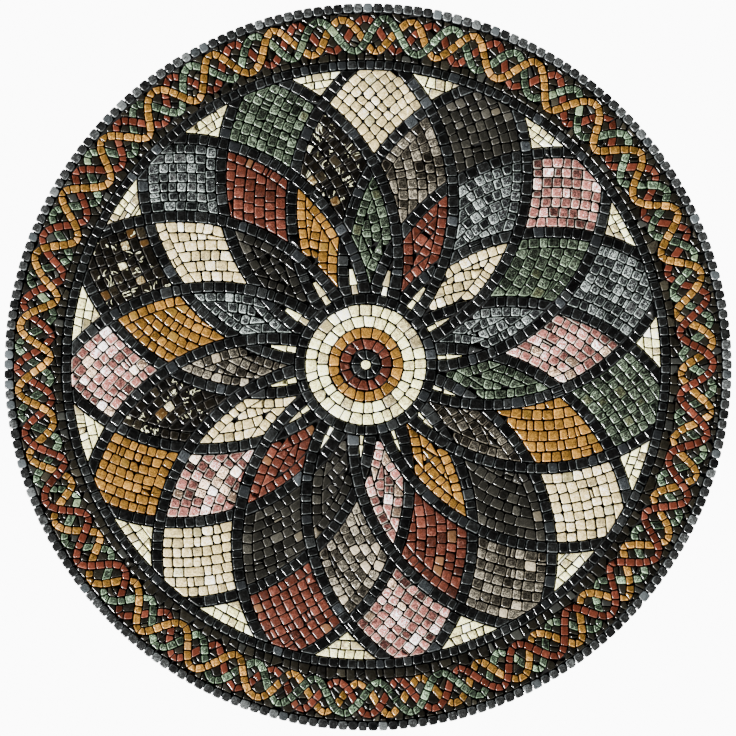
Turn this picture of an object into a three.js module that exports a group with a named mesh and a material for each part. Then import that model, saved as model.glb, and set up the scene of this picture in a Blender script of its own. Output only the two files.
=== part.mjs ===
// A round panel of cut-stone mosaic: a fifteen-fold rosette of crossing arcs with a roundel in the
// middle, a braided border and one black course round the edge, all set in a thin bed of dark mortar.
//
// Millimetres, +Z up. The panel stands upright with its face towards -Y, and the origin is the centre
// of its flat back. Stones of one kind that lie side by side are one slab, with an open joint round it.
import * as THREE from "three";

// Thicknesses and the joints.
const BED_THICKNESS = 6;
const STONE_THICKNESS = 8;
const BED_GAP = 0.3;
const JOINT = 0.8;

// Radii round the centre of the panel.
const BED_RADIUS = 357;
const PANEL_RADIUS = 361.6;
const OUTER_COURSE_RADIUS = 352;

// Radii round the centre of the field, which was laid out a little off the centre of the panel.
const FIELD_CENTRE = new THREE.Vector2(-2, 2.5);
const BRAID_RADIUS = 302.5;
const FIELD_RADIUS = 293;
const ROUNDEL_RADIUS = 60.4;
const OCHRE_RADIUS = 37.5;
const RED_RADIUS = 26.5;
const BLACK_RADIUS = 15.5;
const CENTRE_RADIUS = 5.5;

// The rosette. Its lines are arcs of circles that all pass through one point, two of opposite hand for
// each petal, crossing first near the field's edge. The middle of a circle leans round from that first
// crossing. Laid by eye, the crossings drift a little round from their even places. The lines are one
// black stone wide.
const ROSETTE_CENTRE = new THREE.Vector2(-0.8, 4.8);
const PETALS = 15;
const PITCH = 360 / PETALS;
const FIRST_CROSSING = 15;
const ARC_RADIUS = 191;
const ARC_LEAN = 47.15;
const DRIFT = 1.4;
const DRIFT_PEAK = 222;
const LINE_WIDTH = 11;

// The four lines round a petal of each ring, as steps from the petal's own number: the clockwise line
// that holds it, the anticlockwise and clockwise lines that it stays out of, and the anticlockwise line
// that holds it. Outer and inner petals lie before the crossing of their number, middle ones on it.
const PETAL_LINES = [
  [0, 0, -1, -1],
  [0, 1, -1, 0],
  [-1, 1, -2, 0],
];

// The outer course is one row of stones with rounded corners, which notch its rim at every joint.
const EDGE_STONES = 225;
const NOTCH_DEPTH = 1.1;
const NOTCH_SHARE = 0.2;

// Flats along the curves.
const SEGMENTS = { arc: 3, triangle: 2, petalTop: 2, rim: 3, ring: 60, roundel: 30, small: 16 };

// The stone of each petal, clockwise from the top, and each stone's colour and polish.
const OUTER_STONES = [
  "cream", "charcoal", "pink", "grey", "green",
  "cream", "taupe", "pink", "red", "cream",
  "ochre", "pink", "umber", "grey", "green",
];
const MIDDLE_STONES = [
  "taupe", "grey", "green", "pink", "ochre",
  "charcoal", "red", "taupe", "charcoal", "pink",
  "umber", "ochre", "cream", "red", "umber",
];
const INNER_STONES = [
  "green", "red", "cream", "grey", "green",
  "taupe", "ochre", "pink", "charcoal", "red",
  "cream", "taupe", "grey", "charcoal", "ochre",
];
const STONES = {
  black: stone(0x2a2b2a, 0.38),
  cream: stone(0xe4d9bd, 0.45),
  ochre: stone(0xbb8741, 0.5),
  red: stone(0x85402a, 0.48),
  green: stone(0x5f6f5c, 0.42),
  grey: stone(0x66706f, 0.42),
  pink: stone(0xc99b92, 0.45),
  taupe: stone(0x7a7464, 0.45),
  charcoal: stone(0x3b382f, 0.4),
  umber: stone(0x30271c, 0.36),
  mortar: stone(0x171613, 0.9),
};

/** A matt to satin mineral surface of one colour. */
function stone(color, roughness) {
  return new THREE.MeshStandardMaterial({ color, roughness, metalness: 0 });
}

/** The point at a radius and an angle, in degrees clockwise from the top. */
function polar(radius, degrees) {
  const angle = THREE.MathUtils.degToRad(degrees);
  return new THREE.Vector2(radius * Math.sin(angle), radius * Math.cos(angle));
}

/** A circle round the centre of the field. */
function fieldCircle(radius) {
  return { centre: FIELD_CENTRE, radius };
}

/** The angle at which a pair of lines first cross, in degrees clockwise from the top. */
function crossingAngle(index) {
  const even = FIRST_CROSSING + PITCH * index;
  return even + DRIFT * Math.cos(THREE.MathUtils.degToRad(even - DRIFT_PEAK));
}

/** A line of the rosette that swings clockwise as it goes in, moved outwards by an offset. */
function clockwiseLine(index, offset) {
  const centre = polar(ARC_RADIUS, crossingAngle(index) - ARC_LEAN).add(ROSETTE_CENTRE);
  return { centre, radius: ARC_RADIUS + offset };
}

/** A line of the rosette that swings anticlockwise as it goes in, moved outwards by an offset. */
function anticlockwiseLine(index, offset) {
  const centre = polar(ARC_RADIUS, crossingAngle(index) + ARC_LEAN).add(ROSETTE_CENTRE);
  return { centre, radius: ARC_RADIUS + offset };
}

/** Where two lines cross away from the centre that both pass through. */
function crossing(a, b) {
  const along = b.centre.clone().sub(a.centre).normalize();
  const toCentre = ROSETTE_CENTRE.clone().sub(a.centre);
  const foot = a.centre.clone().addScaledVector(along, toCentre.dot(along));
  return foot.multiplyScalar(2).sub(ROSETTE_CENTRE);
}

/** Where two circles meet, nearest to a given point. */
function meet(a, b, near) {
  const across = b.centre.clone().sub(a.centre);
  const apart = across.length();
  across.divideScalar(apart);
  const along = (apart ** 2 + a.radius ** 2 - b.radius ** 2) / (2 * apart);
  const rise = Math.sqrt(Math.max(a.radius ** 2 - along ** 2, 0));
  const foot = a.centre.clone().addScaledVector(across, along);
  const side = new THREE.Vector2(-across.y, across.x).multiplyScalar(rise);
  const both = [foot.clone().add(side), foot.clone().sub(side)];
  return both[0].distanceTo(near) < both[1].distanceTo(near) ? both[0] : both[1];
}

/** Points along a circle the short way from one point to another, without the last. */
function arcPoints(circle, from, to, segments) {
  const start = from.clone().sub(circle.centre).angle();
  let turn = to.clone().sub(circle.centre).angle() - start;
  if (turn > Math.PI) turn -= 2 * Math.PI;
  if (turn < -Math.PI) turn += 2 * Math.PI;
  return Array.from({ length: segments }, (_, i) => {
    const angle = start + (turn * i) / segments;
    return new THREE.Vector2(Math.cos(angle), Math.sin(angle))
      .multiplyScalar(circle.radius)
      .add(circle.centre);
  });
}

/** An outline of arcs in order: each edge is { circle, segments } and runs to the next corner. */
function arcOutline(edges, corners) {
  return edges.flatMap(({ circle, segments }, i) =>
    arcPoints(circle, corners[i], corners[(i + 1) % corners.length], segments),
  );
}

/** Points of a whole circle. */
function circlePoints(radius, segments, centre = new THREE.Vector2()) {
  return Array.from({ length: segments }, (_, i) => polar(radius, (360 * i) / segments).add(centre));
}

/** The edges and corners of a petal of ring 0, 1 or 2, at a margin from the middle of its lines. */
function petal(ringIndex, index, margin) {
  const [holds, right, left, heldBy] = PETAL_LINES[ringIndex].map((step) => index + step);
  const sides = [
    clockwiseLine(holds, -margin),
    anticlockwiseLine(right, margin),
    clockwiseLine(left, margin),
    anticlockwiseLine(heldBy, -margin),
  ];
  const edges = sides.map((circle) => ({ circle, segments: SEGMENTS.arc }));
  const corners = [0, 1, 2].map((i) => meet(sides[i], sides[i + 1], crossing(sides[i], sides[i + 1])));
  if (ringIndex > 0) {
    corners.unshift(meet(sides[3], sides[0], crossing(sides[3], sides[0])));
    return { edges, corners };
  }
  const top = fieldCircle(FIELD_RADIUS - JOINT / 2);
  corners.unshift(meet(top, sides[0], polar(FIELD_RADIUS, crossingAngle(index) - PITCH / 4)));
  corners.push(meet(sides[3], top, polar(FIELD_RADIUS, crossingAngle(index - 1) + PITCH / 4)));
  return { edges: [...edges, { circle: top, segments: SEGMENTS.petalTop }], corners };
}

/** The outline of a petal of the middle or inner ring, or of a whole outer petal. */
function petalOutline(ringIndex, index, margin) {
  const { edges, corners } = petal(ringIndex, index, margin);
  return arcOutline(edges, corners);
}

/** The two sides of the triangle above a crossing, from the field's edge to its point and back. */
function triangleSides(index, rim, margin) {
  const circle = fieldCircle(rim);
  const left = clockwiseLine(index, margin);
  const right = anticlockwiseLine(index, margin);
  const point = meet(left, right, crossing(left, right));
  const start = meet(left, circle, polar(rim, crossingAngle(index) - PITCH / 4));
  const end = meet(right, circle, polar(rim, crossingAngle(index) + PITCH / 4));
  return [
    ...arcPoints(left, start, point, SEGMENTS.triangle),
    ...arcPoints(right, point, end, SEGMENTS.triangle),
    end,
  ];
}

/** The numbers of the petals of one ring. */
function petalNumbers() {
  return Array.from({ length: PETALS }, (_, i) => i);
}

/** The outer edge of the net of lines, which the outer petals and the triangles notch. */
function netRim() {
  const margin = (LINE_WIDTH - JOINT) / 2;
  return petalNumbers().flatMap((index) => {
    const { edges, corners } = petal(0, index, margin);
    const sides = arcOutline(edges.slice(0, -1), corners);
    const notch = [...sides, corners[corners.length - 1]].reverse();
    return [...notch, ...triangleSides(index, FIELD_RADIUS - JOINT / 2, margin)];
  });
}

/** The inner edge of the field's border, with a triangle standing inwards on it above each crossing. */
function toothedRim() {
  const margin = (LINE_WIDTH + JOINT) / 2;
  const rim = FIELD_RADIUS + JOINT / 2;
  return petalNumbers().flatMap((index) => {
    const tooth = triangleSides(index, rim, margin);
    const next = triangleSides(index + 1, rim, margin)[0];
    const along = arcPoints(fieldCircle(rim), tooth[tooth.length - 1], next, SEGMENTS.rim);
    return [...tooth, ...along.slice(1)];
  });
}

/** The rim of the outer course: each stone's outer edge, then the notch at its joint. */
function scallopedRim() {
  const pitch = 360 / EDGE_STONES;
  const half = (pitch * (1 - NOTCH_SHARE)) / 2;
  return Array.from({ length: EDGE_STONES }, (_, i) => [
    polar(PANEL_RADIUS, pitch * i - half),
    polar(PANEL_RADIUS, pitch * i + half),
    polar(PANEL_RADIUS - NOTCH_DEPTH, pitch * (i + 0.5)),
  ]).flat();
}

/** A slab with the given outline and holes, all clockwise, as one named mesh. */
function slab(name, material, outline, { holes = [], thickness = STONE_THICKNESS } = {}) {
  const shape = new THREE.Shape(outline);
  shape.holes = holes.map((points) => new THREE.Path(points.slice().reverse()));
  const geometry = new THREE.ExtrudeGeometry(shape, { depth: thickness, bevelEnabled: false });
  const mesh = new THREE.Mesh(geometry, material.clone());
  mesh.name = name;
  return mesh;
}

/** A flat ring of the roundel between two radii, each side keeping half a joint. */
function ring(name, material, outer, inner, segments) {
  return slab(name, material, circlePoints(outer - JOINT / 2, segments, FIELD_CENTRE), {
    holes: [circlePoints(inner + JOINT / 2, segments, FIELD_CENTRE)],
  });
}

/** The petals of one ring of the rosette. */
function petals(ringIndex, ringName, stones) {
  const margin = (LINE_WIDTH + JOINT) / 2;
  return stones.map((kind, index) => {
    const number = String(index + 1).padStart(2, "0");
    const outline = petalOutline(ringIndex, index, margin);
    return slab(`petal_${ringName}_${number}_${kind}`, STONES[kind], outline);
  });
}

/** The net of black lines, with a hole for every middle and inner petal and one for the roundel. */
function petalOutlines() {
  const margin = (LINE_WIDTH - JOINT) / 2;
  const holes = [1, 2].flatMap((ringIndex) =>
    petalNumbers().map((index) => petalOutline(ringIndex, index, margin)),
  );
  holes.push(circlePoints(ROUNDEL_RADIUS + JOINT / 2, SEGMENTS.roundel, FIELD_CENTRE));
  return slab("petal_outlines", STONES.black, netRim(), { holes });
}

/** The black course inside the braid, with the triangles on its inner edge. */
function fieldBorder() {
  const rim = circlePoints(BRAID_RADIUS - JOINT / 2, SEGMENTS.ring, FIELD_CENTRE);
  return slab("field_border", STONES.black, rim, { holes: [toothedRim()] });
}

/** The rings of the roundel and the stone in the very middle. */
function roundel() {
  const { roundel: many, small } = SEGMENTS;
  const centre = circlePoints(CENTRE_RADIUS - JOINT / 2, small / 2, FIELD_CENTRE);
  return [
    ring("roundel_cream", STONES.cream, ROUNDEL_RADIUS, OCHRE_RADIUS, many),
    ring("roundel_ochre", STONES.ochre, OCHRE_RADIUS, RED_RADIUS, many),
    ring("roundel_red", STONES.red, RED_RADIUS, BLACK_RADIUS, small),
    ring("roundel_black", STONES.black, BLACK_RADIUS, CENTRE_RADIUS, small),
    slab("roundel_centre", STONES.cream, centre),
  ];
}

/** The braid's ring, which evens out the offset between the field and the outer course. */
function braidBorder() {
  const rim = circlePoints(OUTER_COURSE_RADIUS - JOINT / 2, SEGMENTS.ring);
  const hole = circlePoints(BRAID_RADIUS + JOINT / 2, SEGMENTS.ring, FIELD_CENTRE);
  return slab("braid_border", STONES.charcoal, rim, { holes: [hole] });
}

/** The black course round the edge of the panel. */
function outerCourse() {
  const hole = circlePoints(OUTER_COURSE_RADIUS + JOINT / 2, SEGMENTS.ring);
  return slab("outer_course", STONES.black, scallopedRim(), { holes: [hole] });
}

/** All the stones, in front of the bed. */
function stonework() {
  const group = new THREE.Group();
  group.add(
    ...petals(0, "outer", OUTER_STONES),
    ...petals(1, "middle", MIDDLE_STONES),
    ...petals(2, "inner", INNER_STONES),
    petalOutlines(),
    fieldBorder(),
    ...roundel(),
    braidBorder(),
    outerCourse(),
  );
  group.position.z = BED_THICKNESS + BED_GAP;
  return group;
}

/** The mortar disc that carries the stones. */
function settingBed() {
  const rim = circlePoints(BED_RADIUS, SEGMENTS.ring);
  return slab("setting_bed", STONES.mortar, rim, { thickness: BED_THICKNESS });
}

// The drawing plane of the slabs is stood upright, so that they grow from the back towards -Y.
const panel = new THREE.Group();
panel.add(settingBed(), stonework());
panel.rotation.x = Math.PI / 2;

export default panel;
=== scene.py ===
"""A round panel of cut-stone mosaic: every stone modelled by itself and set in a dark mortar bed.

Lengths are millimetres in the plane of the face (x to the right, z up) until a mesh is written, in
metres. Heights are millimetres in front of the flat back. Angles are degrees clockwise from the top.
"""
import logging
import math
import random
from collections.abc import Callable
from dataclasses import dataclass
from enum import Enum

import bpy
import numpy as np
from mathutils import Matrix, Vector


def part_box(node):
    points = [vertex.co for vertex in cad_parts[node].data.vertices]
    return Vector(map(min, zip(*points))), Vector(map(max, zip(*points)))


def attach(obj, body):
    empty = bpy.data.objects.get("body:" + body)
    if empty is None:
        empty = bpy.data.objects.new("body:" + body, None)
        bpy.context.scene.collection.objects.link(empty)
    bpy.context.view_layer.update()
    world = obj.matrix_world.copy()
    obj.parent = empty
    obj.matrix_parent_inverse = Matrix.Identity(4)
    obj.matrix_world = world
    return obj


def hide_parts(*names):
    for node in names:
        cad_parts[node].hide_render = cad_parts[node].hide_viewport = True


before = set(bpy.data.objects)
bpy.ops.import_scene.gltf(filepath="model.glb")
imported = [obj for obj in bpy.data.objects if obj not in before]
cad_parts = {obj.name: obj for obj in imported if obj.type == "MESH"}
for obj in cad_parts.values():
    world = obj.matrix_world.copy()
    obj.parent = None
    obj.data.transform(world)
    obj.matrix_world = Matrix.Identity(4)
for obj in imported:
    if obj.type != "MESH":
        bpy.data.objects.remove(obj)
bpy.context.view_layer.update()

LOG = logging.getLogger("mosaic")
MM = 0.001
BODY = "root"
UV_MAP = "OFBake"

# How strongly the studio lights a face, and the display's tone curve over stops of light.
STUDIO_LIGHT = 4.6
TONE_AT_ONE = 1.2
TONE_PER_STOP = 0.55

Point = tuple[float, float]
Polygon = list[Point]
Rgb = tuple[int, int, int]
Ramp = tuple[tuple[float, Rgb], ...]
Socket = bpy.types.NodeSocket


# ---- Plane geometry ----


def polar(radius: float, degrees: float, centre: Point = (0.0, 0.0)) -> Point:
    """The point at a radius and at an angle clockwise from the top."""
    angle = math.radians(degrees)
    return (centre[0] + radius * math.sin(angle), centre[1] + radius * math.cos(angle))


def area(polygon: Polygon) -> float:
    """The signed area of a polygon, positive where it runs anticlockwise."""
    pairs = zip(polygon, polygon[1:] + polygon[:1])
    return sum(a[0] * b[1] - b[0] * a[1] for a, b in pairs) / 2


def middle_of(polygon: Polygon) -> Point:
    """The mean of a polygon's corners."""
    count = len(polygon)
    return (sum(p[0] for p in polygon) / count, sum(p[1] for p in polygon) / count)


def clipped(polygon: Polygon, nx: float, nz: float, limit: float) -> Polygon:
    """Cuts a convex polygon along a straight line.

    Args:
        polygon: The corners in order.
        nx: The x part of the line's unit normal, which points to the kept side.
        nz: The z part of that normal.
        limit: How far along the normal the line lies.

    Returns:
        The kept part, which is empty where nothing is left.
    """
    heights = [nx * x + nz * z - limit for x, z in polygon]
    if not polygon or min(heights) >= 0:
        return polygon
    kept: Polygon = []
    for i, (point, height) in enumerate(zip(polygon, heights)):
        (x, z), low = polygon[i - 1], heights[i - 1]
        if (height >= 0) != (low >= 0):
            share = low / (low - height)
            kept.append((x + (point[0] - x) * share, z + (point[1] - z) * share))
        if height >= 0:
            kept.append(point)
    return kept


def inner_normal(start: Point, end: Point) -> Point:
    """The unit normal to the left of a side, which points into an anticlockwise polygon."""
    length = math.dist(start, end) or 1.0
    return ((start[1] - end[1]) / length, (end[0] - start[0]) / length)


def shrunk(polygon: Polygon, margins: list[float]) -> Polygon:
    """Moves each side of an anticlockwise convex polygon inwards.

    Args:
        polygon: The corners in order.
        margins: How far each side moves.

    Returns:
        The smaller polygon.
    """
    result = polygon
    for i, start in enumerate(polygon):
        nx, nz = inner_normal(start, polygon[(i + 1) % len(polygon)])
        result = clipped(result, nx, nz, nx * start[0] + nz * start[1] + margins[i])
    return result


def without_short_sides(polygon: Polygon, shortest: float) -> Polygon:
    """Joins the two ends of every side that is too short to be cut.

    Args:
        polygon: The corners in order.
        shortest: The length of the shortest side that stays.

    Returns:
        The polygon with fewer corners, and three at least.
    """
    result = list(polygon)
    while len(result) > 3:
        lengths = [math.dist(p, result[(i + 1) % len(result)]) for i, p in enumerate(result)]
        i = lengths.index(min(lengths))
        if lengths[i] >= shortest:
            break
        following = result[(i + 1) % len(result)]
        result[i] = ((result[i][0] + following[0]) / 2, (result[i][1] + following[1]) / 2)
        result.pop((i + 1) % len(result))
    return result


@dataclass(frozen=True)
class Circle:
    """A circle in the plane of the face."""

    x: float
    z: float
    radius: float


@dataclass(frozen=True)
class Edge:
    """One curved side of a region: a circle, and whether the region lies inside it."""

    circle: Circle
    inside: bool

    def depth(self, x: np.ndarray, z: np.ndarray) -> np.ndarray:
        """How far points lie in from the side, below nought where they are outside the region."""
        away = np.hypot(x - self.circle.x, z - self.circle.z)
        return self.circle.radius - away if self.inside else away - self.circle.radius

    def radius_at(self, depth: float) -> float:
        """The radius of the curve that runs along the side at a depth."""
        return self.circle.radius + (-depth if self.inside else depth)

    def moved(self, inwards: float) -> "Edge":
        """The side moved into the region."""
        return Edge(Circle(self.circle.x, self.circle.z, self.radius_at(inwards)), self.inside)

    def place(self, depth: float, along: float) -> Point:
        """The point at a depth from the side and at an angle in radians round its circle."""
        radius = self.radius_at(depth)
        return (self.circle.x + radius * math.cos(along), self.circle.z + radius * math.sin(along))

    def heading(self, point: Point) -> float:
        """The angle in radians at which a point lies round the circle."""
        return math.atan2(point[1] - self.circle.z, point[0] - self.circle.x)

    def cut(self, polygon: Polygon) -> Polygon:
        """Cuts a small polygon along the side, with a straight cut.

        Args:
            polygon: The corners in order.

        Returns:
            The part on the region's side.
        """
        if not polygon:
            return polygon
        x, z = middle_of(polygon)
        dx, dz = x - self.circle.x, z - self.circle.z
        away = math.hypot(dx, dz) or 1.0
        sign = -1.0 if self.inside else 1.0
        nx, nz = sign * dx / away, sign * dz / away
        limit = nx * self.circle.x + nz * self.circle.z + sign * self.circle.radius
        return clipped(polygon, nx, nz, limit)


@dataclass(frozen=True)
class Region:
    """An area bounded by curved sides, with a point well inside it."""

    edges: tuple[Edge, ...]
    middle: Point

    def with_edge(self, index: int, edge: Edge) -> "Region":
        """The region with one side exchanged."""
        return Region(self.edges[:index] + (edge,) + self.edges[index + 1 :], self.middle)

    def others(self, index: int) -> tuple[Edge, ...]:
        """All the sides but one."""
        return self.edges[:index] + self.edges[index + 1 :]


# ---- Sizes ----


class Frame:
    """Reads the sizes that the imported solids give."""

    @staticmethod
    def _corners(node: str) -> tuple[Vector, Vector]:
        """The lowest and highest corner of a node, in millimetres."""
        low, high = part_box(node)
        return Vector(low) / MM, Vector(high) / MM

    @classmethod
    def radius(cls, node: str) -> float:
        """Half the width of a round node."""
        low, high = cls._corners(node)
        return (high.x - low.x) / 2

    @classmethod
    def centre(cls, node: str) -> Point:
        """The middle of a round node in the plane of the face."""
        low, high = cls._corners(node)
        return ((high.x + low.x) / 2, (high.z + low.z) / 2)

    @classmethod
    def heights(cls, node: str) -> tuple[float, float]:
        """How far the back and the face of a node stand in front of the panel's back."""
        low, high = cls._corners(node)
        return -high.y, -low.y


@dataclass(frozen=True)
class Plan:
    """The sizes of the drawing that all the sub-assemblies share."""

    joint: float = 0.95
    panel_radius: float = Frame.radius("outer_course")
    outer_course: float = 352.0
    braid: float = 302.5
    field: float = 293.0
    roundel_course: float = 70.8
    roundel: float = 60.4
    field_centre: Point = Frame.centre("roundel_cream")
    stone_root: float = Frame.heights("outer_course")[0]
    face: float = Frame.heights("outer_course")[1]
    bed_radius: float = Frame.radius("setting_bed")

    def field_circle(self, radius: float) -> Circle:
        """A circle round the centre of the field."""
        return Circle(self.field_centre[0], self.field_centre[1], radius)


PLAN = Plan()


class Hand(Enum):
    """Which way a line of the rosette swings as it goes in."""

    CLOCKWISE = -1
    ANTICLOCKWISE = 1


class Ring(Enum):
    """The rings of petals, from the outside in."""

    OUTER = 0
    MIDDLE = 1
    INNER = 2


# The four lines round a petal of each ring, as steps from the petal's own number: the clockwise line
# that holds it, the anticlockwise and clockwise lines that it stays out of, and the anticlockwise line
# that holds it. A petal's middle has a radius, and lies on a crossing or half a petal before it.
PETAL_LINES = {Ring.OUTER: (0, 0, -1, -1), Ring.MIDDLE: (0, 1, -1, 0), Ring.INNER: (-1, 1, -2, 0)}
PETAL_MIDDLES = {Ring.OUTER: (250.0, -0.5), Ring.MIDDLE: (192.0, 0.0), Ring.INNER: (138.0, -0.5)}


@dataclass(frozen=True)
class Rosette:
    """The arcs that draw the petals, all through one point, two of opposite hand for each petal."""

    centre: Point = (-0.8, 4.8)
    petals: int = 15
    first_crossing: float = 15.0
    arc_radius: float = 191.0
    arc_lean: float = 47.15
    drift: float = 1.4
    drift_peak: float = 222.0
    half_line: float = 5.5
    triangle_middle: float = 284.0
    sliver_middle: float = 77.0

    def crossing_angle(self, index: float) -> float:
        """The angle at which a pair of lines first cross, which drifts round from its even place."""
        even = self.first_crossing + 360.0 / self.petals * index
        return even + self.drift * math.cos(math.radians(even - self.drift_peak))

    def crossing(self, index: float, radius: float) -> Point:
        """The point at a radius in the direction of a crossing."""
        return polar(radius, self.crossing_angle(index), self.centre)

    def line(self, hand: Hand, index: int, offset: float = 0.0) -> Circle:
        """The circle of one line's middle, or one that runs outside it by an offset."""
        x, z = polar(self.arc_radius, self.crossing_angle(index) + hand.value * self.arc_lean, self.centre)
        return Circle(x, z, self.arc_radius + offset)

    def drawn(self, hand: Hand, index: int, x: np.ndarray, z: np.ndarray) -> np.ndarray:
        """Which points lie on the half of a line's circle that is laid."""
        circle, (x0, z0) = self.line(hand, index), self.centre
        return ((x - x0) * (circle.z - z0) - (z - z0) * (circle.x - x0)) * hand.value < 0

    def side(self, hand: Hand, index: int, inside: bool) -> Edge:
        """The side that a line gives to a region inside or outside it."""
        offset = -self.half_line if inside else self.half_line
        return Edge(self.line(hand, index, offset), inside)

    def petal(self, ring: Ring, index: int) -> Region:
        """The region of one petal.

        Args:
            ring: The petal's ring.
            index: Its number in the ring.

        Returns:
            The region, up to the middle of the joint round it.
        """
        holds, right, left, held_by = (index + step for step in PETAL_LINES[ring])
        edges = [
            self.side(Hand.CLOCKWISE, holds, True),
            self.side(Hand.ANTICLOCKWISE, right, False),
            self.side(Hand.CLOCKWISE, left, False),
            self.side(Hand.ANTICLOCKWISE, held_by, True),
        ]
        if ring is Ring.OUTER:
            edges.append(Edge(PLAN.field_circle(PLAN.field), True))
        radius, turn = PETAL_MIDDLES[ring]
        return Region(tuple(edges), self.crossing(index + turn, radius))

    def triangle(self, index: int) -> Region:
        """The region of the triangle between the field's edge and one crossing.

        Args:
            index: The crossing's number.

        Returns:
            The region.
        """
        edges = (
            Edge(PLAN.field_circle(PLAN.field), True),
            self.side(Hand.CLOCKWISE, index, False),
            self.side(Hand.ANTICLOCKWISE, index, False),
        )
        return Region(edges, self.crossing(index, self.triangle_middle))

    def sliver(self, index: int) -> Region:
        """The region of the pale point between two lines where they leave the roundel.

        Args:
            index: The number of the crossing that it points to.

        Returns:
            The region.
        """
        edges = (
            Edge(PLAN.field_circle(PLAN.roundel_course), False),
            self.side(Hand.CLOCKWISE, index - 1, True),
            self.side(Hand.ANTICLOCKWISE, index + 1, True),
        )
        return Region(edges, self.crossing(index, self.sliver_middle))


# ---- Finishes ----


class Slot(Enum):
    """The record's material slots."""

    MORTAR = "mortar"
    BLACK = "black_marble"
    CREAM = "cream_marble"
    OCHRE = "ochre_marble"
    RED = "red_marble"
    GREEN = "green_marble"
    GREY = "grey_marble"
    PINK = "pink_marble"
    TAUPE = "taupe_marble"
    CHARCOAL = "charcoal_marble"
    UMBER = "umber_marble"


@dataclass(frozen=True)
class StoneFinish:
    """One kind of stone: its colours from dark to light, how they vary, and its polish."""

    name: str
    slot: Slot
    ramp: Ramp
    odd_ramp: Ramp
    odd_share: float = 0.03
    spread: float = 0.16
    mottle: float = 0.25
    mottle_scale: float = 260.0
    vein_amount: float = 0.0
    vein_colour: Rgb = (228, 222, 205)
    vein_scale: float = 90.0
    vein_width: float = 0.03
    # The pale colour of a bruised arris with a painted highlight along it, and how strongly it shows.
    arris_wear_and_highlight_colour: Rgb = (150, 148, 142)
    arris_wear_and_highlight_amount: float = 0.35
    smooth: float = 0.12
    rough: float = 0.24
    grain: float = 0.35


CREAM = StoneFinish(
    "cream_stone", Slot.CREAM,
    ((0.0, (138, 126, 92)), (0.25, (194, 185, 152)), (0.6, (225, 219, 191)), (1.0, (250, 249, 240))),
    ((0.0, (150, 142, 106)), (0.5, (206, 200, 166)), (1.0, (244, 242, 228))),
    spread=0.12, mottle=0.46, arris_wear_and_highlight_colour=(242, 238, 226),
)
WHITE = StoneFinish(
    "white_stone", Slot.CREAM,
    ((0.0, (150, 140, 108)), (0.3, (210, 203, 174)), (0.6, (237, 233, 212)), (1.0, (251, 250, 244))),
    ((0.0, (146, 138, 102)), (1.0, (222, 217, 190))),
    odd_share=0.06, spread=0.16, mottle=0.5, arris_wear_and_highlight_colour=(246, 244, 236),
)
OCHRE = StoneFinish(
    "ochre_stone", Slot.OCHRE,
    ((0.0, (88, 61, 14)), (0.3, (148, 112, 39)), (0.65, (183, 149, 62)), (1.0, (212, 188, 100))),
    ((0.0, (96, 66, 18)), (1.0, (190, 166, 80))),
    spread=0.13, mottle=0.6, arris_wear_and_highlight_colour=(226, 204, 150),
)
RED = StoneFinish(
    "red_stone", Slot.RED,
    ((0.0, (58, 20, 9)), (0.35, (103, 44, 26)), (0.7, (133, 66, 45)), (1.0, (172, 112, 88))),
    ((0.0, (112, 76, 40)), (1.0, (172, 134, 92))),
    odd_share=0.05, spread=0.15, mottle=0.56, vein_amount=0.3, vein_colour=(206, 168, 152),
    vein_scale=60.0, vein_width=0.02, arris_wear_and_highlight_colour=(196, 156, 138), smooth=0.2, rough=0.34,
)
GREEN = StoneFinish(
    "green_stone", Slot.GREEN,
    ((0.0, (5, 7, 4)), (0.3, (24, 29, 21)), (0.6, (76, 86, 70)),
     (0.85, (122, 134, 114)), (1.0, (178, 190, 172))),
    ((0.0, (30, 36, 24)), (0.6, (96, 100, 70)), (1.0, (170, 176, 148))),
    odd_share=0.08, spread=0.15, mottle=0.85, mottle_scale=330.0, arris_wear_and_highlight_colour=(206, 216, 202),
    arris_wear_and_highlight_amount=0.45,
)
GREY = StoneFinish(
    "grey_stone", Slot.GREY,
    ((0.0, (6, 7, 7)), (0.3, (24, 26, 26)), (0.6, (66, 69, 69)),
     (0.85, (124, 128, 127)), (1.0, (204, 208, 206))),
    ((0.0, (16, 17, 17)), (0.6, (58, 60, 60)), (1.0, (150, 152, 150))),
    odd_share=0.08, spread=0.18, mottle=0.8, mottle_scale=330.0, arris_wear_and_highlight_colour=(218, 222, 220),
    arris_wear_and_highlight_amount=0.55,
)
PINK = StoneFinish(
    "pink_stone", Slot.PINK,
    ((0.0, (60, 32, 28)), (0.22, (118, 76, 68)), (0.5, (181, 134, 124)),
     (0.78, (217, 181, 171)), (1.0, (248, 240, 234))),
    ((0.0, (74, 58, 52)), (0.45, (158, 138, 116)), (0.7, (232, 224, 212)), (1.0, (250, 248, 244))),
    odd_share=0.1, spread=0.2, mottle=0.5, mottle_scale=300.0, arris_wear_and_highlight_colour=(248, 236, 230),
    arris_wear_and_highlight_amount=0.5,
)
TAUPE = StoneFinish(
    "taupe_stone", Slot.TAUPE,
    ((0.0, (12, 10, 6)), (0.3, (46, 41, 32)), (0.6, (100, 95, 82)),
     (0.85, (156, 151, 137)), (1.0, (210, 205, 192))),
    ((0.0, (60, 54, 42)), (1.0, (220, 215, 202))),
    odd_share=0.06, spread=0.2, mottle=0.62, mottle_scale=330.0, arris_wear_and_highlight_colour=(212, 208, 198),
    arris_wear_and_highlight_amount=0.45,
)
CHARCOAL = StoneFinish(
    "charcoal_stone", Slot.CHARCOAL,
    ((0.0, (9, 8, 6)), (0.4, (38, 37, 31)), (0.75, (63, 61, 52)), (1.0, (114, 111, 99))),
    ((0.0, (96, 90, 72)), (0.7, (146, 138, 118)), (1.0, (214, 208, 194))),
    odd_share=0.025, spread=0.19, mottle=0.3, arris_wear_and_highlight_colour=(160, 157, 148), arris_wear_and_highlight_amount=0.4,
)
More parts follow.
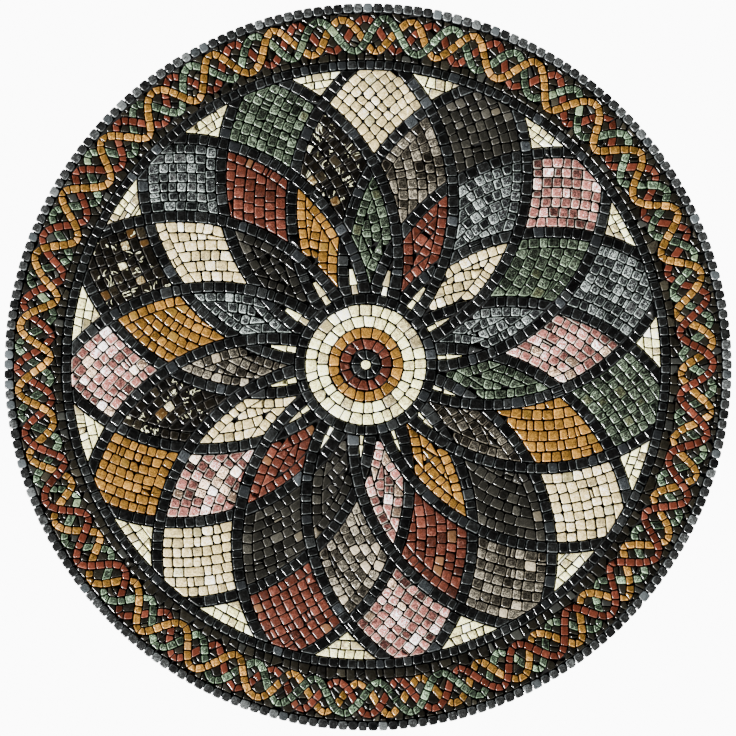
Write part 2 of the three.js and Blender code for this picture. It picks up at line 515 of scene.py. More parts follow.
UMBER = StoneFinish(
    "umber_stone", Slot.UMBER,
    ((0.0, (2, 2, 1)), (0.45, (11, 9, 5)), (0.8, (30, 25, 15)), (1.0, (74, 64, 42))),
    ((0.0, (84, 56, 20)), (0.45, (120, 84, 36)), (0.7, (196, 186, 150)), (1.0, (236, 234, 224))),
    odd_share=0.12, spread=0.2, mottle=0.4, vein_amount=1.0, vein_colour=(238, 235, 224),
    vein_scale=52.0, vein_width=0.022, arris_wear_and_highlight_colour=(160, 156, 148), arris_wear_and_highlight_amount=0.35,
)
BLACK = StoneFinish(
    "black_stone", Slot.BLACK,
    ((0.0, (3, 3, 3)), (0.45, (12, 12, 11)), (0.75, (27, 28, 26)), (1.0, (66, 69, 68))),
    ((0.0, (26, 28, 29)), (0.6, (50, 54, 56)), (1.0, (108, 114, 117))),
    odd_share=0.08, spread=0.19, mottle=0.4, mottle_scale=300.0, arris_wear_and_highlight_colour=(168, 173, 173),
    arris_wear_and_highlight_amount=0.36,
)
SLATE = StoneFinish(
    "slate_stone", Slot.BLACK,
    ((0.0, (11, 11, 11)), (0.4, (43, 44, 43)), (0.75, (86, 88, 87)), (1.0, (154, 158, 157))),
    ((0.0, (48, 52, 53)), (1.0, (140, 147, 149))),
    odd_share=0.1, spread=0.2, mottle=0.52, mottle_scale=300.0, arris_wear_and_highlight_colour=(190, 194, 194),
    arris_wear_and_highlight_amount=0.45,
)
GROUND = StoneFinish(
    "ground_stone", Slot.CHARCOAL,
    ((0.0, (8, 7, 4)), (0.5, (31, 28, 19)), (0.8, (50, 46, 33)), (1.0, (88, 82, 64))),
    ((0.0, (22, 23, 22)), (1.0, (92, 94, 86))),
    odd_share=0.07, spread=0.2, mottle=0.28, arris_wear_and_highlight_colour=(120, 115, 102), arris_wear_and_highlight_amount=0.18,
    smooth=0.15, rough=0.27,
)
STRAND_OCHRE = StoneFinish(
    "strand_ochre_stone", Slot.OCHRE,
    ((0.0, (80, 56, 14)), (0.4, (150, 115, 40)), (0.75, (186, 153, 72)), (1.0, (222, 202, 134))),
    ((0.0, (146, 112, 52)), (1.0, (212, 190, 134))),
    spread=0.15, mottle=0.62, arris_wear_and_highlight_colour=(238, 218, 168),
)
STRAND_RED = StoneFinish(
    "strand_red_stone", Slot.RED,
    ((0.0, (72, 26, 12)), (0.4, (118, 52, 31)), (0.75, (142, 72, 48)), (1.0, (176, 112, 84))),
    ((0.0, (112, 60, 36)), (1.0, (170, 110, 82))),
    spread=0.18, mottle=0.4, arris_wear_and_highlight_colour=(204, 162, 144),
)
STRAND_GREEN = StoneFinish(
    "strand_green_stone", Slot.GREEN,
    ((0.0, (10, 13, 8)), (0.35, (44, 54, 41)), (0.65, (92, 108, 88)),
     (0.9, (150, 166, 144)), (1.0, (202, 214, 198))),
    ((0.0, (34, 40, 28)), (1.0, (186, 196, 172))),
    spread=0.17, mottle=0.78, mottle_scale=330.0, arris_wear_and_highlight_colour=(216, 226, 212),
)

PETAL_FINISHES = {
    finish.name.removesuffix("_stone"): finish
    for finish in (CREAM, OCHRE, RED, GREEN, GREY, PINK, TAUPE, CHARCOAL, UMBER)
}


def pigment(colour: Rgb) -> tuple[float, float, float, float]:
    """The reflectance that shows as a colour under the studio's light, with an alpha of one.

    Args:
        colour: The colour as it should look, in eight-bit display values.

    Returns:
        The reflectance. The display's tone curve is close to a logistic one over stops of light.
    """
    shares = [min(max(value, 1), 250) / 255 for value in colour]
    stops = [(math.log(s / (1 - s)) - TONE_AT_ONE) / TONE_PER_STOP for s in shares]
    red, green, blue = (min(2.0**stop / STUDIO_LIGHT, 0.95) for stop in stops)
    return (red, green, blue, 1.0)


class Sheet:
    """A node tree under construction."""

    def __init__(self, tree: bpy.types.NodeTree) -> None:
        """Starts from an empty tree."""
        self.tree = tree
        tree.nodes.clear()

    def feed(self, node: bpy.types.Node, inputs: dict[str | int, object]) -> None:
        """Links or sets some inputs of a node.

        Args:
            node: The node.
            inputs: A value, or the socket that feeds it, for each input's name or number.
        """
        for name, value in inputs.items():
            if isinstance(value, Socket):
                self.tree.links.new(value, node.inputs[name])
            else:
                node.inputs[name].default_value = value

    def add(self, kind: str, inputs: dict[str | int, object], **settings: object) -> bpy.types.Node:
        """Adds a node.

        Args:
            kind: The node's type name.
            inputs: A value, or the socket that feeds it, for each input's name or number.
            settings: Properties of the node.

        Returns:
            The new node.
        """
        node = self.tree.nodes.new(kind)
        for name, value in settings.items():
            setattr(node, name, value)
        self.feed(node, inputs)
        return node

    def placed(self, group: bpy.types.NodeTree, inputs: dict[str, object]) -> dict[str, Socket]:
        """Places a shared group with its own values and returns its outputs."""
        return self.add("ShaderNodeGroup", inputs, node_tree=group).outputs

    def ramp(self, factor: Socket, stops: Ramp) -> Socket:
        """Adds a colour ramp.

        Args:
            factor: What the ramp runs over.
            stops: The colours, as they should look, and their positions.

        Returns:
            The ramp's colour.
        """
        node = self.add("ShaderNodeValToRGB", {"Fac": factor})
        elements = node.color_ramp.elements
        while len(elements) < len(stops):
            elements.new(0.5)
        for element, (position, colour) in zip(elements, stops):
            element.position = position
            element.color = pigment(colour)
        return node.outputs["Color"]

    def mix(self, factor: Socket, first: Socket, second: Socket) -> Socket:
        """Adds a mix of two colours."""
        return self.add("ShaderNodeMix", {0: factor, 6: first, 7: second}, data_type="RGBA").outputs[2]

    def math(self, operation: str, first: Socket, second: Socket | float = 0.0) -> Socket:
        """Adds a sum of two values."""
        return self.add("ShaderNodeMath", {0: first, 1: second}, operation=operation).outputs[0]

    def product(self, first: Socket, *others: Socket | float) -> Socket:
        """Adds the product of several values.

        Args:
            first: The first value.
            others: What it is multiplied by.

        Returns:
            The product.
        """
        for other in others:
            first = self.math("MULTIPLY", first, other)
        return first

    def spread(self, value: Socket, low: object, high: float, to_low: object, to_high: object) -> Socket:
        """Adds a clamped map from one range to another."""
        inputs = {"Value": value, "From Min": low, "From Max": high, "To Min": to_low, "To Max": to_high}
        return self.add("ShaderNodeMapRange", inputs).outputs["Result"]

    def attribute(self, name: str) -> Socket:
        """Adds a value that the mesh keeps at its corners."""
        return self.add("ShaderNodeAttribute", {}, attribute_name=name).outputs["Fac"]

    def place(self) -> Socket:
        """Adds the place on the object."""
        return self.add("ShaderNodeTexCoord", {}).outputs["Object"]

    def noise(
        self, place: Socket, scale: object, detail: float, rough: float = 0.5, distortion: float = 0.0
    ) -> Socket:
        """Adds a cloudy noise.

        Args:
            place: Where it is read.
            scale: How fine it is, in clouds to the metre.
            detail: How many finer layers it has.
            rough: How strong the finer layers are.
            distortion: How far its clouds are pulled about.

        Returns:
            The noise, from nought to one.
        """
        inputs = {"Vector": place, "Scale": scale, "Detail": detail}
        inputs |= {"Roughness": rough, "Distortion": distortion}
        return self.add("ShaderNodeTexNoise", inputs).outputs["Fac"]

    def bump(self, height: Socket, strength: float, distance: float) -> Socket:
        """Adds a bump and returns its normal."""
        inputs = {"Height": height, "Strength": strength, "Distance": distance}
        return self.add("ShaderNodeBump", inputs).outputs["Normal"]


class Effects:
    """The shader node groups that several materials share, each built once."""

    def __init__(self) -> None:
        """Builds every group."""
        self.level = self._level()
        self.veins = self._coat("calcite_veins", "Vein Color", ("Scale", "Width", "Amount"), self._vein_mask)
        # A pale bruised arris with a painted highlight along it.
        self.arris = self._coat("worn_arris", "Arris Color", ("Amount",), self._arris_wear_and_highlight_mask)
        # Mortar haze and painted shade on the stones' sides, down in the joints.
        self.grime = self._coat("joint_grime", "Grime Color", (), self._grime_and_shade_mask)
        self.honed = self._honed()

    @staticmethod
    def _group(name: str, inputs: dict[str, str], outputs: dict[str, str]) -> tuple:
        """Starts a node group.

        Args:
            name: The group's name.
            inputs: The kind of each input socket, by name.
            outputs: The kind of each output socket, by name.

        Returns:
            The group, its sheet, the sockets of its inputs, and its output node.
        """
        group = bpy.data.node_groups.new(name, "ShaderNodeTree")
        sheet = Sheet(group)
        for side, sockets in (("INPUT", inputs), ("OUTPUT", outputs)):
            for socket, kind in sockets.items():
                group.interface.new_socket(name=socket, in_out=side, socket_type="NodeSocket" + kind)
        return group, sheet, sheet.add("NodeGroupInput", {}).outputs, sheet.add("NodeGroupOutput", {})

    def _level(self) -> bpy.types.NodeTree:
        """How light each place of each stone is, from its own tint and a mottling within it.

        Returns:
            The group.
        """
        inputs = {"Vector": "Vector", "Mottle Scale": "Float", "Mottle Depth": "Float"}
        group, sheet, given, result = self._group("stone_level", inputs, {"Level": "Float"})
        broad = sheet.noise(given["Vector"], given["Mottle Scale"], 5.0, 0.66, 0.9)
        fine = sheet.noise(given["Vector"], 1050.0, 2.0)
        cloud = sheet.spread(broad, 0.32, 0.68, -0.5, 0.5)
        speckle = sheet.spread(fine, 0.3, 0.7, -0.45, 0.45)
        swing = sheet.product(sheet.math("ADD", cloud, speckle), given["Mottle Depth"])
        sheet.feed(result, {"Level": sheet.math("ADD", swing, sheet.attribute("tint"))})
        return group

    def _coat(
        self, name: str, second: str, values: tuple[str, ...], mask: Callable[[Sheet, dict], Socket]
    ) -> bpy.types.NodeTree:
        """A group that lays a second colour over the first where a mask shows it.

        Args:
            name: The group's name.
            second: The name of the second colour's input.
            values: The names of the inputs that shape the mask.
            mask: Draws the mask on the group's sheet, from its inputs.

        Returns:
            The group.
        """
        inputs = {"Color": "Color", "Vector": "Vector", second: "Color"} | dict.fromkeys(values, "Float")
        group, sheet, given, result = self._group(name, inputs, {"Color": "Color"})
        sheet.feed(result, {"Color": sheet.mix(mask(sheet, given), given["Color"], given[second])})
        return group

    @staticmethod
    def _vein_mask(sheet: Sheet, given: dict[str, Socket]) -> Socket:
        """Thin bent veins, which come and go.

        Args:
            sheet: The group's sheet.
            given: The group's inputs.

        Returns:
            The mask.
        """
        warp = sheet.noise(given["Vector"], given["Scale"], 3.0, 0.4, 2.2)
        from_middle = sheet.math("ABSOLUTE", sheet.math("SUBTRACT", warp, 0.5))
        line = sheet.spread(from_middle, given["Width"], 0.0, 0.0, 1.0)
        shown = sheet.spread(sheet.noise(given["Vector"], 55.0, 1.0), 0.55, 0.57, 0.0, 1.0)
        return sheet.product(line, shown, given["Amount"])

    @staticmethod
    def _arris_wear_and_highlight_mask(sheet: Sheet, given: dict[str, Socket]) -> Socket:
        """The pale, bruised arris of a cut stone with a painted highlight along it, which shows most on the
        lighter ones.

        Args:
            sheet: The group's sheet.
            given: The group's inputs.

        Returns:
            The mask.
        """
        broken = sheet.spread(sheet.noise(given["Vector"], 420.0, 3.0), 0.38, 0.6, 0.15, 1.0)
        of_stone = sheet.spread(sheet.attribute("tint"), 0.35, 0.75, 0.45, 1.35)
        return sheet.product(sheet.attribute("arris"), broken, of_stone, given["Amount"])

    @staticmethod
    def _grime_and_shade_mask(sheet: Sheet, given: dict[str, Socket]) -> Socket:
        """Mortar left on the sides of a stone, and painted shade, both darker the deeper the side goes down
        in the joint.
        """
        patchy = sheet.spread(sheet.noise(given["Vector"], 500.0, 2.0), 0.35, 0.65, 0.7, 1.0)
        return sheet.product(sheet.attribute("deep"), patchy)

    def _honed(self) -> bpy.types.NodeTree:
        """The height and roughness of a sawn and honed face, with small pits.

        Returns:
            The group.
        """
        inputs = {"Vector": "Vector", "Grain": "Float", "Smooth": "Float", "Rough": "Float"}
        outputs = {"Height": "Float", "Roughness": "Float"}
        group, sheet, given, result = self._group("honed_face", inputs, outputs)
        fine = sheet.product(sheet.noise(given["Vector"], 1500.0, 3.0), given["Grain"])
        broad = sheet.noise(given["Vector"], 300.0, 2.0)
        pits = sheet.add("ShaderNodeTexVoronoi", {"Vector": given["Vector"], "Scale": 700.0})
        pit = sheet.spread(pits.outputs["Distance"], 0.0, 0.22, -1.0, 0.0)
        height = sheet.math("ADD", sheet.math("ADD", fine, broad), pit)
        rough = sheet.spread(broad, 0.35, 0.65, given["Smooth"], given["Rough"])
        sheet.feed(result, {"Height": height, "Roughness": rough})
        return group


class Finisher:
    """Builds and keeps the material of each finish."""

    # The colour of the mortar haze and painted shade on the stones' sides in the joints.
    GRIME: Rgb = (9, 8, 7)
    SHIFT = (7.3, 3.1, 5.7)
    # In the joints the mortar is darkened with painted shade; behind, it keeps its own grey.
    JOINT_SHADE: Ramp = ((0.3, (5, 4, 3)), (0.5, (10, 9, 7)), (0.62, (17, 15, 12)), (0.8, (38, 35, 30)))
    DRY: Ramp = ((0.3, (58, 55, 49)), (0.5, (84, 80, 72)), (0.62, (104, 99, 90)), (0.8, (140, 134, 122)))
    PALE: Ramp = ((0.3, (226, 226, 224)), (0.7, (232, 232, 230)))

    def __init__(self, effects: Effects) -> None:
        """Keeps the shared node groups."""
        self.effects = effects
        self.made: dict[str, bpy.types.Material] = {}

    @staticmethod
    def _material(name: str) -> tuple[bpy.types.Material, Sheet, bpy.types.Node]:
        """Starts a material.

        Args:
            name: The material's name.

        Returns:
            The material, its sheet and its shader.
        """
        material = bpy.data.materials.new(name)
        material.use_nodes = True
        sheet = Sheet(material.node_tree)
        shader = sheet.add("ShaderNodeBsdfPrincipled", {})
        sheet.add("ShaderNodeOutputMaterial", {"Surface": shader.outputs["BSDF"]})
        return material, sheet, shader

    def stone(self, finish: StoneFinish) -> bpy.types.Material:
        """The material of one kind of stone, built where it is first asked for.

        Args:
            finish: The kind of stone.

        Returns:
            The material.
        """
        if finish.name in self.made:
            return self.made[finish.name]
        material, sheet, shader = self._material(finish.name)
        # Each stone's tint moves the patterns, so that none runs on across a joint.
        tint = sheet.attribute("tint")
        offset = sheet.add("ShaderNodeVectorMath", {0: self.SHIFT, "Scale": tint}, operation="SCALE")
        moved = {0: sheet.place(), 1: offset.outputs[0]}
        place = sheet.add("ShaderNodeVectorMath", moved, operation="ADD").outputs[0]

        mottle = {"Vector": place, "Mottle Scale": finish.mottle_scale, "Mottle Depth": finish.mottle}
        level = sheet.placed(self.effects.level, mottle)["Level"]
        usual, strange = sheet.ramp(level, finish.ramp), sheet.ramp(level, finish.odd_ramp)
        colour = sheet.mix(sheet.attribute("odd"), usual, strange)
        veins = {"Vein Color": pigment(finish.vein_colour), "Scale": finish.vein_scale,
                 "Width": finish.vein_width, "Amount": finish.vein_amount}
        # The arris coat is partly wear and partly a painted highlight.
        arris = {"Arris Color": pigment(finish.arris_wear_and_highlight_colour), "Amount": finish.arris_wear_and_highlight_amount}
        coats = [(self.effects.veins, veins)] if finish.vein_amount > 0 else []
        coats += [(self.effects.arris, arris), (self.effects.grime, {"Grime Color": pigment(self.GRIME)})]
        for group, values in coats:
            colour = sheet.placed(group, {"Color": colour, "Vector": place} | values)["Color"]
        polish = {"Vector": place, "Grain": finish.grain, "Smooth": finish.smooth, "Rough": finish.rough}
        honed = sheet.placed(self.effects.honed, polish)
        normal = sheet.bump(honed["Height"], 0.5, 0.0002)
        sheet.feed(shader, {"Base Color": colour, "Roughness": honed["Roughness"], "Normal": normal})
        self.made[finish.name] = material
        return material

    def mortar(self) -> bpy.types.Material:
        """The sanded mortar of the bed: its own grey behind, darkened in the joints with painted shade, with
        the weave of a cloth.

        Returns:
            The material.
        """
        material, sheet, shader = self._material("mortar_bed")
        place = sheet.place()
        sand, cloud = sheet.noise(place, 1400.0, 4.0), sheet.noise(place, 22.0, 5.0)
        shade = sheet.math("ADD", sheet.product(sand, 0.5), sheet.product(cloud, 0.5))
        dry, joint_shade = sheet.ramp(shade, self.DRY), sheet.ramp(shade, self.JOINT_SHADE)
        threads = {"Vector": place, "Scale": 64.0, "Distortion": 0.6, "Detail": 1.0}
        weft, warp = (
            sheet.add("ShaderNodeTexWave", threads, bands_direction=way).outputs["Fac"] for way in ("X", "Z")
        )
        cloth = sheet.product(sheet.math("MAXIMUM", weft, warp), 0.6)
        shader.inputs["Specular IOR Level"].default_value = 0.15
        sheet.feed(shader, {
            # The front, in the joints, takes the painted shade.
            "Base Color": sheet.mix(sheet.attribute("joint"), dry, joint_shade),
            "Roughness": sheet.spread(sand, 0.3, 0.7, 0.8, 0.98),
            "Normal": sheet.bump(sheet.math("ADD", cloth, sand), 0.6, 0.0004),
        })
        return material

    def floor(self) -> bpy.types.Material:
        """A plain pale floor.

        Returns:
            The material.
        """
        material, sheet, shader = self._material("studio_floor")
        cloud = sheet.noise(sheet.place(), 3.0, 2.0)
        shader.inputs["Roughness"].default_value = 0.7
        sheet.feed(shader, {"Base Color": sheet.ramp(cloud, self.PALE)})
        return material


# ---- Stones ----


@dataclass(frozen=True)
class Cut:
    """How the stones of one part are laid and cut."""

    pitch: float = 10.0
    uneven: float = 0.16
    slant: float = 0.6
    gape: float = 0.45
    split_share: float = 0.025
    merge_share: float = 0.006
    corner: tuple[float, float] = (1.0, 2.0)
    smallest: float = 12.0
    shortest: float = 1.2
    # How strongly the stones' sides darken down in the joints, with mortar haze and painted shade.
    grime: float = 1.0
    chipped: float = 0.14
    chip: tuple[float, float] = (0.7, 1.9)


class Buckets:
    """Keeps things by place, so that the near ones are found at once."""

    ROUND = [(i, j) for i in (-1, 0, 1) for j in (-1, 0, 1)]

    def __init__(self, size: float) -> None:
        """Starts empty, with square buckets of a size."""
        self.size = size
        self.held: dict[tuple[int, int], list] = {}

    @classmethod
    def of(cls, stones: list[Polygon], size: float) -> "Buckets":
        """Keeps stones by their middles.

        Args:
            stones: The stones' outlines.
            size: The width of a bucket.

        Returns:
            The filled buckets.
        """
        buckets = cls(size)
        for stone in stones:
            buckets.put(middle_of(stone), stone)
        return buckets

    def put(self, point: Point, thing: object) -> None:
        """Keeps a thing at a point."""
        key = (int(point[0] // self.size), int(point[1] // self.size))
        self.held.setdefault(key, []).append(thing)

    def near(self, point: Point) -> list:
        """Everything in the nine buckets round a point."""
        column, row = int(point[0] // self.size), int(point[1] // self.size)
        return [thing for i, j in self.ROUND for thing in self.held.get((column + i, row + j), ())]


def gap_to(stone: Polygon, point: Point) -> tuple[float, float, float, float]:
    """The side of a convex stone that faces a point best.

    Args:
        stone: The stone's outline, anticlockwise.
        point: The point.

    Returns:
        How far outside that side the point is, the side's outward normal, and how far along the
        normal the side lies.
    """
    best = (-math.inf, 0.0, 0.0, 0.0)
    for i, start in enumerate(stone):
        nx, nz = inner_normal(start, stone[(i + 1) % len(stone)])
        limit = -(nx * start[0] + nz * start[1])
        gap = -(nx * point[0] + nz * point[1]) - limit
        if gap > best[0]:
            best = (gap, -nx, -nz, limit)
    return best


class Mason:
    """Divides regions into stones, row by row."""

    TIGHTER = 0.1
    CHIP_TURN = 0.4
    SPLITS = (0.32, 0.4, 0.5, 0.66)
    SCAN_STEP = 0.5
    SCAN_REACH = 95.0
    DEPTH_SHARES = np.array([0.1, 0.3, 0.5, 0.7, 0.9])
    SHORT_ROW = 0.4
    LONG_TIP = 0.6
    OVERRUN = 1.0
    COURSE_WIDTHS = (0.92, 1.04)
    ROW_WIDTH = 0.98

    def __init__(self, seed: str, cut: Cut) -> None:
        """Takes its own seeded source of chance."""
        self.chance = random.Random(seed)
        self.cut = cut

    def stone(self, cell: Polygon) -> Polygon | None:
        """Cuts a stone a little smaller than its cell.

        Args:
            cell: The cell, up to the middle of the joints round it.

        Returns:
            The stone's outline, anticlockwise, or None where too little is left to cut.
        """
        if len(cell) < 3:
            return None
        if area(cell) < 0:
            cell = cell[::-1]
        half = PLAN.joint / 2
        margins = [half + self.cut.gape * self.chance.random() ** 2 - self.TIGHTER for _ in cell]
        outline = without_short_sides(shrunk(cell, margins), self.cut.shortest)
        if len(outline) < 3 or area(outline) < self.cut.smallest:
            return None
        return self._chipped(outline) if self.chance.random() < self.cut.chipped else outline

    def stones(self, cells: list[Polygon]) -> list[Polygon]:
        """Cuts a stone for each cell that is large enough."""
        outlines = (self.stone(cell) for cell in cells)
        return [outline for outline in outlines if outline]

    def _chipped(self, outline: Polygon) -> Polygon:
        """Breaks one corner off a stone.

        Args:
            outline: The stone's outline.

        Returns:
            The outline with one corner cut across.
        """
        i = self.chance.randrange(len(outline))
        x, z = outline[i]
        centre_x, centre_z = middle_of(outline)
        turn = math.atan2(centre_z - z, centre_x - x)
        turn += self.chance.uniform(-self.CHIP_TURN, self.CHIP_TURN)
        nx, nz = math.cos(turn), math.sin(turn)
        return clipped(outline, nx, nz, nx * x + nz * z + self.chance.uniform(*self.cut.chip))

    def divide(self, start: float, end: float) -> list[float]:
        """Sets uneven marks from one end to another, about a stone's pitch apart."""
        count = max(1, round((end - start) / self.cut.pitch))
        return self.marks(start, (end - start) / count, count, self.cut.uneven)

    def marks(self, start: float, step: float, count: int, uneven: float) -> list[float]:
        """Sets marks a step apart and moves all but the first and last by chance.

        Args:
            start: The first mark.
            step: The distance from mark to mark.
            count: The number of steps.
            uneven: How far a mark moves at most, in steps.

        Returns:
            The marks.
        """
        marks = [start + step * i for i in range(count + 1)]
        for i in range(1, count):
            marks[i] += step * uneven * self.chance.uniform(-1, 1)
        return marks

    def _parts(self, near: float, far: float, ends: Point, leans: Point, whole: bool) -> list[Polygon]:
        """Splits one space of a strip in two where chance will have it.

        Args:
            near: The depth of the space's near side.
            far: The depth of its far side.
            ends: The angles at which it starts and ends.
            leans: How far each end leans.
            whole: Whether it is never split.

        Returns:
            The corners of each part, as depths and angles.
        """
        (a, b), (lean_a, lean_b) = ends, leans
        corners = [(near, a - lean_a), (near, b - lean_b), (far, b + lean_b), (far, a + lean_a)]
        if whole or self.chance.random() >= self.cut.split_share:
            return [corners]
        share = self.chance.choice(self.SPLITS)
        if self.chance.random() < 0.5:
            middle = a + (b - a) * share
            low, high = (near, middle), (far, middle)
            return [[corners[0], low, high, corners[3]], [low, corners[1], corners[2], high]]
        middle = near + (far - near) * share
        first, last = (middle, a), (middle, b)
        return [[corners[0], corners[1], last, first], [first, last, corners[2], corners[3]]]

    def cells(self, guide: Edge, near: float, far: float, marks: list[float]) -> list[Polygon]:
        """Four-sided cells along a strip.

        Args:
            guide: The side that the strip runs along.
            near: The depth of the strip's near side.
            far: The depth of its far side.
            marks: Angles in radians round the guide's circle that divide the strip.

        Returns:
            One cell for each space between marks, some of them split or joined.
        """
        radius = guide.radius_at((near + far) / 2)
        leans = [self.cut.slant * self.chance.uniform(-1, 1) / radius for _ in marks]
        leans[0] = leans[-1] = 0.0
        spans: list[tuple[int, int]] = []
        i = 0
        while i < len(marks) - 1:
            joined = i + 2 < len(marks) and self.chance.random() < self.cut.merge_share
            spans.append((i, i + 2 if joined else i + 1))
            i = spans[-1][1]
        parts: list[Polygon] = []
        for first, last in spans:
            ends, lean = (marks[first], marks[last]), (leans[first], leans[last])
            parts += self._parts(near, far, ends, lean, last - first > 1)
        return [[guide.place(depth, along) for depth, along in part] for part in parts]

    def _row_marks(
        self, guide: Edge, near: float, far: float, limits: tuple[Edge, ...], heading: float
    ) -> list[float]:
        """Finds where a row lies along a side, and divides it.

        Args:
            guide: The side that the row runs along.
            near: The depth of the row's near side.
            far: The depth of its far side.
            limits: The other sides.
            heading: The angle round the guide's circle from which the row is looked for.

        Returns:
            The marks, as lengths from the heading, or none where nothing of the row is inside.
        """
        steps = np.arange(-self.SCAN_REACH, self.SCAN_REACH, self.SCAN_STEP)
        angles = heading + steps / guide.radius_at((near + far) / 2)
        inside = np.zeros(len(steps))
        for share in self.DEPTH_SHARES:
            reach = guide.radius_at(near + (far - near) * share)
            x = guide.circle.x + reach * np.cos(angles)
            z = guide.circle.z + reach * np.sin(angles)
            inside += np.all([limit.depth(x, z) > 0 for limit in limits], axis=0)
        some = steps[inside > 0]
        most = steps[inside >= len(self.DEPTH_SHARES) / 2]
        if not len(some):
            return []
        if not len(most) or most[-1] - most[0] < self.SHORT_ROW * self.cut.pitch:
            return [some[0] - self.OVERRUN, some[-1] + self.OVERRUN]
        marks = self.divide(most[0], most[-1])
        for end, tip, sign in ((0, some[0], -1), (-1, some[-1], 1)):
            if abs(tip - marks[end]) > self.LONG_TIP * self.cut.pitch:
                marks.insert(0 if end == 0 else len(marks), tip + sign * self.OVERRUN)
            else:
                marks[end] = tip + sign * self.OVERRUN
        return marks

    def row(
        self, guide: Edge, near: float, far: float, limits: tuple[Edge, ...], middle: Point
    ) -> list[Polygon]:
        """Lays one row of stones along a side.

        Args:
            guide: The side that the row runs along.
            near: The depth of the row's near side.
            far: The depth of its far side.
            limits: The other sides, which cut the row's ends.
            middle: A point inside the region, from which the row is looked for.

        Returns:
            The outlines of the stones.
        """
        heading = guide.heading(middle)
        radius = guide.radius_at((near + far) / 2)
        marks = self._row_marks(guide, near, far, limits, heading)
        if not marks:
            return []
        cells = self.cells(guide, near, far, [heading + mark / radius for mark in marks])
        for limit in limits:
            cells = [limit.cut(cell) for cell in cells]
        return self.stones(cells)

    def deepest(self, guide: Edge, limits: tuple[Edge, ...], middle: Point) -> float:
        """How far a region reaches from one of its sides.

        Args:
            guide: The side.
            limits: The other sides.
            middle: A point inside the region.

        Returns:
            The greatest depth.
        """
        steps = np.arange(-self.SCAN_REACH, self.SCAN_REACH, 1.0)
        x, z = np.meshgrid(middle[0] + steps, middle[1] + steps)
        depth = guide.depth(x, z)
        inside = np.all([limit.depth(x, z) > 0 for limit in limits + (guide,)], axis=0)
        return float(depth[inside].max()) if inside.any() else 0.0

    def fill(self, region: Region, guide: int, courses: tuple[int, ...] = ()) -> list[Polygon]:
        """Lays a whole region.

        Args:
            region: The region, up to the middle of the joint round it.
            guide: The number of the side that the rows follow.
            courses: The sides that first get a course of their own, in order.

        Returns:
            The outlines of the stones.
        """
        laid = []
        for side in courses:
            edge = region.edges[side]
            width = self.cut.pitch * self.chance.uniform(*self.COURSE_WIDTHS)
            laid += self.row(edge, 0.0, width, region.others(side), region.middle)
            region = region.with_edge(side, edge.moved(width))
        edge, limits = region.edges[guide], region.others(guide)
        reach = self.deepest(edge, limits, region.middle)
        rows = max(1, round(reach / (self.cut.pitch * self.ROW_WIDTH)))
        marks = [reach * i / rows for i in range(rows + 1)]
        for near, far in zip(marks, marks[1:]):
            laid += self.row(edge, near, far, limits, region.middle)
        return laid

    def ring(
        self, centre: Point, outer: float, inner: float, count: int, turn: float = 0.0
    ) -> list[Polygon]:
        """Lays a whole course round a centre.

        Args:
            centre: The centre of the course.
            outer: The outer radius, up to the middle of the joint.
            inner: The inner radius.
            count: The number of stones.
            turn: Where the first joint lies, in degrees clockwise from the top.

        Returns:
            The outlines of the stones.
        """
        guide = Edge(Circle(centre[0], centre[1], outer), True)
        start = math.pi / 2 - math.radians(turn)
        marks = self.marks(start, 2 * math.pi / count, count, self.cut.uneven / 2)
        return self.stones(self.cells(guide, 0.0, outer - inner, marks))




@dataclass(frozen=True)
class ArrisProfile:
    """The profile of a stone from its root to its face, as steps in and down from the face's edge."""

    steps: tuple[tuple[float, float], ...] = ((0.0, 1.1), (0.12, 0.5), (0.75, 0.09), (1.1, 0.0))
    # How pale each ring is at the arris: bruised stone and a painted highlight.
    worn: tuple[float, ...] = (0.25, 1.0, 0.85, 0.0)
    deep: tuple[float, ...] = (0.85, 0.3, 0.0, 0.0)
    flare: tuple[float, ...] = (0.5, 0.25, 0.1, 0.0)


def new_object(
    name: str, vertices: list[tuple[float, ...]], faces: list[tuple[int, ...]], material: bpy.types.Material
) -> bpy.types.Object:
    """Puts a mesh in the scene.

    Args:
        name: The object's name.
        vertices: The corners, in metres.
        faces: The corners of each face, by number.
        material: What it is made of.

    Returns:
        The object.
    """
    mesh = bpy.data.meshes.new(name)
    mesh.from_pydata(vertices, [], faces)
    mesh.materials.append(material)
    made = bpy.data.objects.new(name, mesh)
    bpy.context.scene.collection.objects.link(made)
    return made


def dress(mesh: bpy.types.Mesh, chart: np.ndarray, values: dict[str, np.ndarray]) -> None:
    """Shades a mesh smooth, and gives it its chart and the values that its material reads.

    Args:
        mesh: The mesh.
        chart: A place on the chart for each corner of each face.
        values: A value for each vertex, by name.
    """
    mesh.polygons.foreach_set("use_smooth", np.ones(len(mesh.polygons), dtype=bool))
    for name, numbers in values.items():
        mesh.attributes.new(name, "FLOAT", "POINT").data.foreach_set("value", numbers.astype(np.float32))
    mesh.uv_layers.new(name=UV_MAP).data.foreach_set("uv", chart.astype(np.float32).ravel())
    mesh.update()


